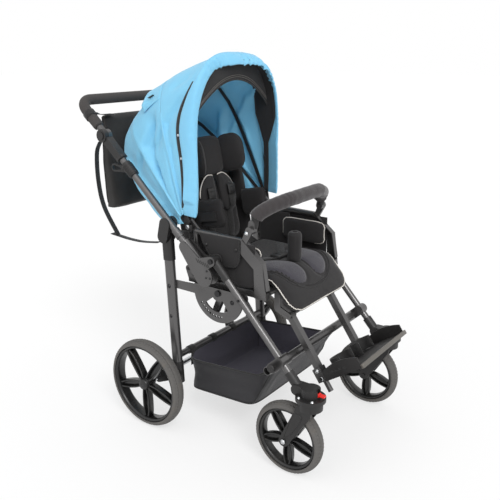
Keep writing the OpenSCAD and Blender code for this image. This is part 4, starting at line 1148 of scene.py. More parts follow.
class BUGGY_OT_back(bpy.types.Operator):
    """Builds the back cushion, lateral pads, headrest and harness."""

    bl_idname = "buggy.back"
    bl_label = "Back"

    def execute(self, context):
        """Builds the pieces."""
        here = BACK @ Matrix.Translation((0, 0.116, -0.0247))
        made, tree, edge = stuffed("back_cushion_cover", 0.248, 0.222, 0.017, 0.016, here, "backrest", 0.003)
        seam("back_edge_seam", tree, edge, 0.0002, 0.0018, "backrest", True)
        self.shoulders()
        self.bolsters()
        for k in (-1, 1):
            line = [BACK @ Vector((k * 0.022, 0.02 + 0.19 * i / 24, 0.01)) for i in range(25)]
            seam("back_seam_" + ("l" if k < 0 else "r"), tree, line, 0.0002, 0.0012, "backrest")
        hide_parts("back_cushion")
        for name, side in SIDES:
            turn = BACK @ Matrix.Translation((side * 0.1147, 0.128, 0.060)) @ Matrix.Rotation(
                -side * pi / 2, 4, "Y"
            )
            size = (0.110, 0.096, 0.0115, 0.0120)
            lateral, skin, rim = stuffed("lateral_pad_" + name, *size, turn, "backrest", 0.002)
            seam("lateral_seam_" + name, skin, rim, 0.0003, 0.0016, "backrest", True)
            if side > 0:
                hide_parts("lateral_pads")
        self.headrest()
        self.harness(tree)
        return {"FINISHED"}

    def shoulders(self):
        """The two puffed shoulder pads on the top of the back cushion, piped along their upper edges."""
        outline = [
            (0.012, 0.236), (0.026, 0.244), (0.044, 0.243), (0.066, 0.228), (0.084, 0.203), (0.092, 0.172),
            (0.086, 0.138), (0.064, 0.118), (0.036, 0.116), (0.016, 0.134), (0.010, 0.180),
        ]
        for name, side in SIDES:
            edge = smooth_path([(side * x, y, 0.0) for x, y in outline], 6, True)
            centre = sum(edge, Vector()) / len(edge)
            rings = []
            for s in (0.12, 0.4, 0.66, 0.85, 0.96, 1.0):
                rise = 0.013 * (1 - s ** 3) ** 0.5
                rings.append(
                    [BACK @ (centre + (p - centre) * s + Vector((0, 0, 0.002 + rise))) for p in edge]
                )
            rings.append([BACK @ (centre + (p - centre) * 0.97 + Vector((0, 0, -0.010))) for p in edge])
            made = piece("shoulder_pad_" + name, *capped(rings), seat_cloth(), "backrest")
            smooth_out(made)
            line = [BACK @ (p + Vector((0, 0, 0.0025))) for p in edge[1:30]]
            tube("shoulder_piping_" + name, line, sizes().piping, piping_cord(), "backrest", 8)

    def bolsters(self):
        """The stuffed side rolls of the back cover, outside the back cushion."""
        for name, side in SIDES:
            rings = []
            for k in range(41):
                f = k / 40
                end = sqrt(max(0.02, 1 - (2 * f - 1) ** 8))
                ring = []
                for j in range(24):
                    a = 2 * pi * j / 24
                    x = side * 0.1445 + 0.0135 * end * signed_power(cos(a), 0.7)
                    z = -0.020 + 0.026 * end * signed_power(sin(a), 0.8) + 0.0012 * jitter(
                        (k * 0.2, j * 0.4, side), 1.0, 7.0
                    )
                    ring.append(BACK @ Vector((x, -0.004 + 0.262 * f, z)))
                rings.append(ring)
            made = piece("back_bolster_" + name, *capped(rings), seat_cloth(), "backrest")
            smooth_out(made)

    def headrest(self):
        """The head pad with its two wings and the two rods."""
        here = BACK @ Matrix.Translation((0, 0.306, -0.020))
        size = (0.178, 0.134, 0.0180, 0.0160)
        made, skin, edge = stuffed("head_pad", *size, here, "headrest", 0.0025, pull=0.02, square=0.62)
        seam("head_seam", skin, edge, 0.0003, 0.0017, "headrest", True)
        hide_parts("headrest")
        for name, side in SIDES:
            turn = BACK @ Matrix.Translation((side * 0.087, 0.306, 0.015)) @ Matrix.Rotation(
                -side * radians(66), 4, "Y"
            )
            size = (0.098, 0.128, 0.0150, 0.0150)
            wing, skin, rim = stuffed(
                "head_wing_" + name, *size, turn, "headrest", 0.0025, pull=0.01, square=0.74
            )
            seam("head_wing_seam_" + name, skin, rim, 0.0003, 0.0017, "headrest", True)
            foot = BACK @ Vector((side * 0.06, 0.148, -0.060))
            top = BACK @ Vector((side * 0.06, 0.296, -0.060))
            tube("head_rod_" + name, [foot, foot.lerp(top, 0.5), top], 0.005, zinc(), "headrest", 20)
            block("head_bracket_" + name, (-0.008, 0.260, -0.065), (0.008, 0.294, -0.026),
                  BACK @ Matrix.Translation((side * 0.06, 0, 0)), 0.003, nylon(), "headrest")

    def harness(self, tree):
        """The two shoulder straps over the back cushion, with their adjusters."""
        for name, side in SIDES:
            line = []
            for i in range(31):
                y = 0.012 + 0.206 * i / 30
                over = min(1.0, max(0.0, (y - 0.104) / 0.030))
                spot = onto(
                    tree, [BACK @ Vector((side * (0.049 + 0.006 * sin(pi * i / 30)), y, 0.02))], 0.0016
                )[0]
                height = (BACK.inverted() @ spot).z
                line.append(
                    spot + BACK.to_3x3() @ Vector(
                        (0, 0, max(0.0, 0.0168 - height) * over * over * (3 - 2 * over))
                    )
                )
            made = ribbon("shoulder_strap_" + name, line, BACK.to_3x3() @ Vector((1, 0, 0)), 0.030,
                          sizes().webbing, webbing(), "backrest")
            if side > 0:
                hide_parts("shoulder_straps")
            here = BACK @ Matrix.Translation((side * 0.052, 0.186, 0.0180))
            block(
                "strap_adjuster_" + name, (-0.018, -0.017, 0.0004), (0.018, 0.017, 0.006), here, 0.002,
                nylon(), "backrest",
            )
            for k, y in enumerate((-0.009, 0.006)):
                block(
                    f"strap_adjuster_bar_{name}_{k}", (-0.010, y - 0.0016, 0.006),
                    (0.010, y + 0.0016, 0.0074), here, 0.0006, dark_steel(), "backrest",
                )


class BUGGY_OT_sides(bpy.types.Operator):
    """Builds the cloth side panels and the sleeve of the bumper bar."""

    bl_idname = "buggy.sides"
    bl_label = "Side panels and bumper sleeve"

    def execute(self, context):
        """Builds the pieces."""
        low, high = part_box("side_panels")
        y0, y1, z0, z1 = low.y, high.y, low.z, high.z
        for name, side in SIDES:
            outline = [
                (y0, z1), (y0, z0 + 0.030), (y0 + 0.012, z0 + 0.006), (y0 + 0.030, z0), (y0 + 0.072, z0),
                (y0 + 0.098, z0 + 0.010), (y1 - 0.030, z0 + 0.034), (y1 - 0.012, z0 + 0.060), (y1, z1),
            ]
            edge = smooth_path([(0, y, z) for y, z in outline], 6)
            rings = []
            centre = Vector((0, y0 + 0.066, z0 + 0.052))
            for s in (1.0, 0.965, 0.9, 0.7, 0.45, 0.2):
                puff = 0.0034 * (1 - s ** 6) ** 0.5
                ring = []
                for p in edge:
                    q = centre + (p - centre) * s
                    wave = 0.0006 * jitter(q, 30, 2.0 + side) * (1 - s)
                    ring.append(Vector((side * (0.2154 + 0.0008 + puff + wave), q.y, q.z)))
                rings.append(ring)
            inner = [Vector((side * 0.2154, p.y, p.z)) for p in edge]
            points, faces = capped([inner] + rings)
            made = piece("side_panel_" + name, points, faces, seat_cloth(), "seat")
            line = [
                Vector(
                    (side * 0.2172, centre.y + (p.y - centre.y) * 0.985, centre.z + (p.z - centre.z) * 0.985)
                )
                for p in edge
            ]
            tube("side_panel_binding_" + name, line, 0.0018, webbing(), "seat", 8)
            if side > 0:
                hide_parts("side_panels")
            self.liner("side_liner_" + name, side, 0.1925, -0.045, 0.128, 0.120)
            self.liner("side_skirt_" + name, side, 0.2088, -0.186, 0.150, 0.128)
        self.sleeve()
        return {"FINISHED"}

    def liner(self, name, side, out, first, run, fall):
        """Cloth hung from an arm rail, that closes the gap beside the back or behind a hip pad."""
        rows, columns, points = 14, 18, []
        for i in range(rows + 1):
            for k in range(columns + 1):
                f, g = i / rows, k / columns
                y = first + run * g
                z = 0.662 - (fall + 0.010 * sin(pi * g)) * f
                slack = 0.002 * sin(pi * f) * sin(pi * g) + 0.0010 * jitter((y, z, side), 24, 3.3)
                points.append(Vector((side * (out - slack), y, z)))
        made = piece(name, points, bands(rows + 1, columns + 1), seat_cloth(), "seat")
        thicken(made, 0.0014, 0.0)

    def sleeve(self):
        """The gathered knitted sleeve over the bumper bar."""
        half = [
            (0.1865, -0.1722, 0.740), (0.1800, -0.1795, 0.7515), (0.158, -0.1981, 0.768),
            (0.107, -0.2191, 0.781), (0.064, -0.2281, 0.785),
        ]
        sagged = [(x - 0.004, y + 0.004, z - 0.007) for x, y, z in half[:4]] + half[4:]
        line = smooth_path(sagged + [(-x, y, z) for x, y, z in half[::-1]], 16)
        rings = tube_rings(line, 0.0215, 28)
        n = len(rings)
        for i, ring in enumerate(rings):
            middle = sum(ring, Vector()) / len(ring)
            end = min(i, n - 1 - i) / n
            bunch = 0.0030 * exp(-i / n * 8) + 0.0003
            for k, p in enumerate(ring):
                out = (p - middle).normalized()
                fold = sin(i * 1.05 + 0.9 * sin(k * 0.9)) * bunch + 0.0007 * jitter(p, 60, 5.0)
                shut = -0.009 * exp(-((end * n) ** 2) / 3.0)
                ring[k] = p + out * (fold + shut)
        for name, side in SIDES:
            elbow = [
                (side * 0.1905, -0.1690, 0.710), (side * 0.1895, -0.1705, 0.724),
                (side * 0.1865, -0.1722, 0.744),
            ]
            tube("bumper_elbow_" + name, smooth_path(elbow, 8), 0.0118, nylon(), "bumper", 20)
        made = piece("bumper_cover", *capped(rings), knit(), "bumper")
        smooth_out(made)
        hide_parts("bumper_sleeve")


# Basket, bag and straps


class BUGGY_OT_basket(bpy.types.Operator):
    """Builds the cloth basket with its hem and the webbing loops on the rear rail."""

    bl_idname = "buggy.basket"
    bl_label = "Basket"

    def execute(self, context):
        """Builds the pieces."""
        low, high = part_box("basket")
        wide = high.x - 0.001
        front_y, rear_y, floor_z = low.y, high.y, low.z
        around = 160
        floor, rim = [], []
        for k in range(around):
            a = 2 * pi * k / around
            c, s = signed_power(cos(a), 0.2), signed_power(sin(a), 0.2)
            y = (rear_y - 0.006 + front_y + 0.096) / 2 + (rear_y - front_y - 0.102) / 2 * s
            z = floor_z + 0.0015 + 0.020 * (rear_y - y) / (rear_y - front_y)
            floor.append(Vector((wide * 0.975 * c, y, z)))
            y = (rear_y + front_y) / 2 + (rear_y - front_y) / 2 * s
            rim.append(Vector((wide * c, y, self.height(y, front_y, rear_y))))
        rings = []
        middle = Vector((0, (rear_y + front_y + 0.09) / 2, floor_z + 0.011))
        for s in (0.06, 0.2, 0.36, 0.52, 0.68, 0.82, 0.93, 0.98):
            rings.append(
                [
                    middle.lerp(p, s) + Vector((0, 0, 0.0025 * (jitter(middle.lerp(p, s), 13, 1.0) - 0.6)))
                    for p in floor
                ]
            )
        for i in range(13):
            f = i / 12
            ring = []
            for p, q in zip(floor, rim):
                here = p.lerp(q, f)
                out = Vector((here.x, here.y - middle.y, 0)).normalized()
                hang = sin(pi * min(1, f * 1.2))
                pull = jitter((here.x * 2.2, here.y * 2.2, here.z * 0.6), 17, 6.0)
                bulge = -0.005 * sin(pi * f) + (0.006 * pull + 0.003 * jitter(here, 38, 2.0)) * hang
                ring.append(here + out * bulge)
            rings.append(ring)
        points = [middle] + [p for ring in rings for p in ring]
        faces = [(0, 1 + k, 1 + (k + 1) % around) for k in range(around)]
        faces += [tuple(v + 1 for v in q) for q in bands(len(rings), around, wrap_columns=True)]
        made = piece("basket_cloth", points, faces, basket_cloth(), "chassis")
        made.data.materials.append(basket_lining())
        thicken(made, 0.0016).material_offset = 1
        smooth_out(made)
        for k in range(4):
            corner = around * (2 * k + 1) // 8
            line = [ring[corner] for ring in rings[8:]]
            tube(f"basket_seam_{k}", line, 0.0022, webbing(), "chassis", 8)
        tube("basket_floor_seam", rings[8], 0.0020, webbing(), "chassis", 8, True)
        hem = tube("basket_hem", rings[-1], 0.0032, webbing(), "chassis", 8, True)
        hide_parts("basket")
        self.loops()
        return {"FINISHED"}

    def height(self, y, front_y, rear_y):
        """Height of the basket's rim: up to the cross tube in front, a low side, up to the rail behind."""
        from_front = y - front_y
        if from_front < 0.080:
            return 0.246 + 0.064 * (1 - from_front / 0.080) ** 1.3
        low = 0.246 - 0.024 * (from_front - 0.080) / (rear_y - front_y - 0.080)
        back = max(0.0, 1 - (rear_y - y) / 0.012)
        return low + 0.014 * back

    def loops(self):
        """Webbing loops that hang the basket from the rear rail."""
        low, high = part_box("rear_rail")
        y, z = (low.y + high.y) / 2, (low.z + high.z) / 2
        r = (high.z - low.z) / 2 + 0.0014
        for k, x in enumerate((-0.170, -0.055, 0.055, 0.170)):
            ring = [(x, y + r * cos(a), z + r * sin(a)) for a in [2 * pi * i / 32 for i in range(32)]]
            ribbon(f"basket_loop_{k}", ring, (1, 0, 0), 0.026, 0.0018, webbing(), "chassis", True)
            tail = [
                (x, y - r, z), (x, y - r - 0.0006, z - 0.012), (x, y - r + 0.0005, z - 0.030),
                (x, y - r + 0.001, z - 0.052),
            ]
            ribbon(
                f"basket_loop_tail_{k}", smooth_path(tail, 5), (1, 0, 0), 0.024, 0.0016, webbing(), "chassis"
            )


class BUGGY_OT_bag(bpy.types.Operator):
    """Builds the bag behind the seat, its loops to the handle and the side straps."""

    bl_idname = "buggy.bag"
    bl_label = "Bag and straps"

    # The pocket's seam, in shares of the bag's half width and height
    pocket = ((-0.72, 0.62), (-0.74, 0.2), (-0.6, 0.12), (0.6, 0.12), (0.74, 0.2), (0.72, 0.62))

    def execute(self, context):
        """Builds the pieces."""
        low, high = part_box("bag")
        rings, rows, around = [], 34, 80
        rear, base, tall, half, deep = high.y, low.z, high.z - low.z, high.x, high.y - low.y
        for i in range(rows + 1):
            f = i / rows
            foot, head = max(0.0, (0.06 - f) / 0.06), max(0.0, (f - 0.965) / 0.035)
            round_end = (1 - foot ** 2 * 0.55) * (1 - head ** 2 * 0.3)
            w = half * (0.95 + 0.05 * sin(pi * min(1, f * 1.15))) * (1 - 0.03 * f)
            d = deep * (1.0 - 0.64 * f ** 1.15) * (0.9 + 0.1 * min(1, f / 0.12)) * round_end
            ring = []
            for k in range(around):
                a = 2 * pi * k / around
                x = w * signed_power(cos(a), 0.32)
                y = rear - d / 2 + d / 2 * signed_power(sin(a), 0.45)
                p = Vector((x, y, base + tall * f))
                sag = 0.004 * jitter(p, 11, 4.0) + 0.0022 * jitter(p, 34, 9.0)
                crease = 0.0025 * sin(18 * f + 3 * sin(x * 14)) * (1 - f)
                p.y += (sag + crease) * (0.6 if p.y > rear - d / 2 else 1.0) - 0.003
                ring.append(p)
            rings.append(ring)
        made = piece("bag_shell", *capped(rings), bag_cloth(), "upper_frame")
        smooth_out(made)
        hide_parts("bag")
        tree = surface_of(made)
        extra = [made]
        for label, line, steps, lift, radius, material in (
            ("zip", ((-0.86, 0.80), (0, 0.775), (0.86, 0.80)), 20, 0.0004, 0.0022, webbing()),
            ("pocket_seam", self.pocket, 14, 0.0003, 0.0016, bag_cloth()),
            ("pocket_hem", ((-0.72, 0.62), (0, 0.605), (0.72, 0.62)), 16, 0.0004, 0.0028, webbing()),
        ):
            spots = smooth_path([(half * u, rear + 0.05, base + tall * v) for u, v in line], steps)
            extra.append(tube("bag_" + label, onto(tree, spots, lift), radius, material, "upper_frame", 8))
        for name, side in SIDES:
            edge = [
                Vector((side * (half + 0.05), rear - 0.004, base + tall * (0.05 + 0.92 * i / 40)))
                for i in range(41)
            ]
            extra.append(
                tube("bag_side_piping_" + name, onto(tree, edge, 0.0004), 0.0022, webbing(), "upper_frame", 8)
            )
        for soft in extra:
            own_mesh(soft)
        self.loops()
        self.straps()
        return {"FINISHED"}

    def loops(self):
        """Webbing loops from the bag's top to the handle arms."""
        # The loop's centre on the handle's arm, in the handle's own frame
        centre = HANDLE @ Vector((0.2405, 0.092, 0))
        axis = HANDLE.to_3x3() @ Vector((0, 1, 0))
        up = HANDLE.to_3x3() @ Vector((0, 0, 1))
        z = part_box("bag")[1].z + 0.0016
        for name, side in SIDES:
            r = 0.0190
            middle = Vector((side * centre.x, centre.y, centre.z))
            ring = [
                middle + Vector((cos(a) * r, 0, 0)) + up * sin(a) * r
                for a in [2 * pi * k / 40 for k in range(40)]
            ]
            made = ribbon("carry_loop_" + name, ring, axis, 0.022, 0.0022, webbing(), "handle", True)
            if side > 0:
                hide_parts("bag_loops")
            line = [
                (side * 0.150, centre.y - 0.004, z), (side * 0.185, centre.y - 0.002, z + 0.0006),
                (side * 0.205, centre.y, z + 0.003), (side * 0.2212, centre.y, z + 0.010),
            ]
            arm = ribbon("carry_arm_" + name, smooth_path(line, 8), (0, 1, 0), 0.022, 0.0022, webbing(), None)
            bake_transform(arm)

    def straps(self):
        """Side straps from the handle joints down and forward to the tops of the legs."""
        grip = pivot("handle_tilt")
        leg = Vector((0, 0.1317, 0.6495))
        for name, side in SIDES:
            x = side * (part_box("bag_strap")[1].x - 0.009)
            offsets = [
                (grip, 0.0135, -0.0200), (grip, 0.034, -0.060), (grip, 0.036, -0.150), (grip, 0.016, -0.235),
                (leg, 0.206, -0.027),
            ]
            line = [(x, base.y + dy, base.z + dz) for base, dy, dz in offsets]
            made = ribbon(
                "side_strap_" + name, smooth_path(line, 10), (1, 0, 0), 0.018, sizes().webbing, webbing(),
                "upper_frame",
            )
            if side > 0:
                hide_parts("bag_strap")
            low = [
                (x, leg.y + dy, leg.z + dz)
                for dy, dz in (
                    (0.234, -0.026), (0.204, -0.0285), (0.150, -0.032), (0.090, -0.031), (0.022, -0.022)
                )
            ]
            tail = ribbon(
                "side_strap_low_" + name, smooth_path(low, 10), (1, 0, 0), 0.018, sizes().webbing, webbing(),
                "upper_frame",
            )
            for strap in (made, tail):
                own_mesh(strap)


# Wheels and hard details


class BUGGY_OT_wheels(bpy.types.Operator):
    """Builds the four foam tyres and spoked rims."""

    bl_idname = "buggy.wheels"
    bl_label = "Wheels"

    def execute(self, context):
        """Builds the pieces."""
        for place, slots in (("front", 60), ("rear", 80)):
            for name, side in SIDES:
                self.wheel(place, name, side, slots)
        return {"FINISHED"}

    def wheel(self, place, name, side, slots):
        """One wheel."""
        body = f"{place}_wheel_{name}"
        tyre_low, tyre_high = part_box(f"{place}_tyre_{name}")
        rim_low, rim_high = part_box(f"{place}_rim_{name}")
        centre = (tyre_low + tyre_high) / 2
        r, w = (tyre_high.z - tyre_low.z) / 2, tyre_high.x - tyre_low.x
        inner = (rim_high.z - rim_low.z) / 2
        out = Vector((side, 0, 0))
        # The tyre's outline from its middle out: shares of the half width and of the radius
        face = [
            (0.0, 1.0), (0.18, 0.998), (0.3, 0.99), (0.315, 0.976), (0.345, 0.976), (0.36, 0.984),
            (0.66, 0.952), (0.675, 0.94), (0.72, 0.932), (0.88, 0.885), (0.97, 0.83), (1.0, 0.765),
        ]
        profile = [(inner + 0.0003, w * 0.34), (inner + 0.0003, -w * 0.34), (inner + 0.001, -w * 0.46)]
        depth = r - inner
        wall = [(inner + depth * (h - 0.765) / 0.235 * 0.98 + depth * 0.02, w / 2 * u) for u, h in face]
        profile += [(radius, -along) for radius, along in wall[::-1]] + wall[1:]
        profile.append((inner + 0.001, w * 0.46))

        def groove(k, radius, t):
            """Slanted slots across the tread."""
            if radius < inner + depth * 0.72 or abs(t) < w * 0.17:
                return 0.0
            return -0.0018 if (k + (1 if t > 0 else 0)) % 3 == 0 else 0.0

        made = turned(f"{place}_tyre_foam_{name}", profile, centre, out, tyre_foam(), body, slots * 3, groove)
        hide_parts(f"{place}_tyre_{name}")
        edge = w / 2 - 0.004
        ring = [
            (inner - 0.0005, -edge), (inner - 0.0005, edge), (inner - 0.0045, edge + 0.001),
            (inner - 0.0085, edge - 0.0015), (inner - 0.0105, edge * 0.6), (inner - 0.0105, -edge * 0.6),
            (inner - 0.0085, -edge + 0.0015), (inner - 0.0045, -edge - 0.001),
        ]
        rim = turned(f"{place}_rim_ring_{name}", ring, centre, out, rim_plastic(), body, 96)
        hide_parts(f"{place}_rim_{name}")
        hub_r = 0.0205
        face_x = abs(rim_high.x - centre.x) if side > 0 else abs(rim_low.x - centre.x)
        back_x = abs(rim_low.x - centre.x) if side > 0 else abs(rim_high.x - centre.x)
        bore = 0.0062
        hub = [
            (bore, -back_x), (hub_r * 0.8, -back_x), (hub_r, -back_x * 0.7), (hub_r * 1.1, 0),
            (hub_r, face_x * 0.62), (hub_r * 0.86, face_x * 0.8), (hub_r * 0.84, face_x),
            (hub_r * 0.62, face_x), (bore, face_x * 0.96),
        ]
        turned(f"{place}_hub_{name}", hub, centre, out, rim_plastic(), body, 48)
        self.spokes(place, name, body, centre, side, inner - 0.006, hub_r, w)
        if place == "rear":
            cap = [
                (0.0003, face_x - 0.003), (0.0150, face_x - 0.003), (0.0150, face_x - 0.001),
                (0.013, face_x + 0.0005), (0.006, face_x + 0.0012), (0.0003, face_x + 0.0014),
            ]
            turned(f"rear_hub_cap_{name}", cap, centre, out, nylon(), body, 40)

    def spokes(self, place, name, body, centre, side, outer, hub_r, w):
        """Twin ribs from the hub to the rim, thinner and set back towards the rim."""
        parts, count, start_r = [], sizes().spokes, hub_r * 0.7
        shares = [s / 8 for s in range(9)]
        # Share of the way out, distance from the axle and half the gap between the twin ribs
        places = [(f, start_r + (outer - start_r) * f, 0.0050 + 0.0075 * sin(pi * f) ** 0.8) for f in shares]
        rib = ((-1, -0.85), (-0.7, -1), (0.7, -1), (1, -0.85), (1, 0.85), (0.7, 1), (-0.7, 1), (-1, 0.85))
        web = ((-1, -1), (1, -1), (1, 1), (-1, 1))
        for i in range(count):
            turn = 2 * pi * i / count + pi
            radial = Vector((0, sin(turn), cos(turn)))
            tangent = Vector((0, cos(turn), -sin(turn)))
            for k in (-1, 1):
                rings = []
                for f, distance, spread in places:
                    thick = 0.0032 - 0.0006 * sin(pi * f) + 0.0012 * f ** 5
                    deep = w * (0.30 - 0.06 * sin(pi * f))
                    proud = Vector((side * w * 0.05 * (1 - f), 0, 0))
                    middle = centre + radial * distance + tangent * (k * spread) + proud
                    rings.append([middle + tangent * thick * u + Vector((deep * v, 0, 0)) for u, v in rib])
                parts.append(rings)
            parts.append([
                [
                    centre + radial * distance + tangent * spread * u + Vector((w * 0.10 * v, 0, 0))
                    for u, v in web
                ]
                for f, distance, spread in places
            ])
        points, faces = [], []
        for more, quads in map(capped, parts):
            faces += [tuple(len(points) + v for v in q) for q in quads]
            points += more
        made = piece(f"{place}_spokes_{name}", points, faces, rim_plastic(), body)
        smooth_out(made)


class BUGGY_OT_handle(bpy.types.Operator):
    """Builds the foam of the push handle."""

    bl_idname = "buggy.handle"
    bl_label = "Handle foam"

    def execute(self, context):
        """Builds the pieces."""
        span, r, corner, foot = 0.160, 0.0175, 0.048, 0.0402
        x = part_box("handle_grip")[1].x - r
        line = [Vector((x, foot + (span - corner - foot) * k / 10, 0)) for k in range(10)]
        line += [
            Vector((x - corner + corner * cos(a), span - corner + corner * sin(a), 0))
            for a in [pi / 2 * k / 12 for k in range(13)]
        ]
        line += [Vector((x - corner - 2 * (x - corner) * k / 30, span, 0)) for k in range(1, 30)]
        line += [Vector((-p.x, p.y, 0)) for p in line[:23][::-1]]
        rings = tube_rings([HANDLE @ p for p in line], 0.0174, 28)
        for i in (0, len(rings) - 1):
            middle = sum(rings[i], Vector()) / 28
            rings[i] = [middle + (p - middle) * 0.93 for p in rings[i]]
        made = piece("handle_foam_sleeve", *capped(rings), hand_foam(), "handle")
        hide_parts("handle_grip")
        return {"FINISHED"}


class BUGGY_OT_foot(bpy.types.Operator):
    """Builds the heel straps of the footplate."""

    bl_idname = "buggy.foot"
    bl_label = "Heel straps"

    def execute(self, context):
        """Builds the pieces."""
        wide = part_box("footplate")[1].x * 2
        for name, side in SIDES:
            x = side * wide * 0.212
            line = []
            for k in range(33):
                a = pi * k / 32
                line.append(Vector((x + 0.0368 * cos(a), 0.054 - 0.0365 * sin(a), 0.018)))
            line = [Vector((x + 0.0368, 0.070, 0.018))] + line + [Vector((x - 0.0368, 0.070, 0.018))]
            made = ribbon(
                "heel_strap_" + name, [FOOT @ p for p in line], FOOT.to_3x3() @ Vector((0, 0, 1)), 0.040,
                0.0024, webbing(), "footplate",
            )
            if side > 0:
                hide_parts("heel_loops")
        return {"FINISHED"}


class BUGGY_OT_frame(bpy.types.Operator):
    """Gives the CAD nodes their materials and rounds their moulded edges."""

    bl_idname = "buggy.frame"
    bl_label = "Frame finish"

    finish = {
        frame_paint: "lower_tubes rear_legs sector_plates rear_rail front_cross_tube upper_tubes handle_bar "
        "seat_frame guard_plates bumper_bar legrest_frame fold_cheeks",
        nylon: "caster_housings fold_knuckles leg_saddles axle_brackets handle_hinges handle_button_l "
        "handle_button_r trigger_l trigger_r caster_fork_l caster_fork_r brake_bar back_shell footplate "
        "canopy_rear_bow canopy_mid_bow canopy_front_bow",
        zinc: "rear_axle_shaft",
        dark_steel: "chassis_bolts",
        lever_red: "lock_lever_l lock_lever_r",
        seat_cloth: "seat_cushion pommel hip_pads side_panels back_cushion lateral_pads headrest",
        webbing: "lap_belt shoulder_straps heel_loops bag_loops bag_strap",
        knit: "bumper_sleeve",
        hand_foam: "handle_grip",
        bag_cloth: "bag",
        basket_cloth: "basket",
        canopy_cloth: "canopy_front_cloth canopy_rear_cloth",
        tyre_foam: "front_tyre_l front_tyre_r rear_tyre_l rear_tyre_r",
        rim_plastic: "front_rim_l front_rim_r rear_rim_l rear_rim_r",
    }
    rounded = (
        "caster_housings fold_knuckles leg_saddles axle_brackets fold_cheeks handle_hinges trigger_l "
        "trigger_r caster_fork_l caster_fork_r brake_bar back_shell footplate lock_lever_l lock_lever_r "
        "seat_frame legrest_frame sector_plates handle_button_l handle_button_r"
    )
    # Broader roundings, in metres, of the large mouldings
    broad = {
        "caster_fork_l": 0.0025, "caster_fork_r": 0.0025, "caster_housings": 0.0016, "fold_cheeks": 0.0020
    }

    def execute(self, context):
        """Assigns the materials and rounds the moulded edges."""
        for material, names in self.finish.items():
            for name in names.split():
                node = frame["nodes"][name]
                node.data.materials.clear()
                node.data.materials.append(material())
        for name in self.rounded.split():
            node = frame["nodes"][name]
            flat = node.modifiers.new("flat faces", "DECIMATE")
            flat.decimate_type = "DISSOLVE"
            flat.angle_limit = radians(1.0)
            soft = node.modifiers.new("rounded", "BEVEL")
            soft.width = self.broad.get(name, 0.0009)
            soft.segments = 2
            soft.limit_method = "ANGLE"
            soft.angle_limit = radians(40)
            soft.harden_normals = True
        return {"FINISHED"}


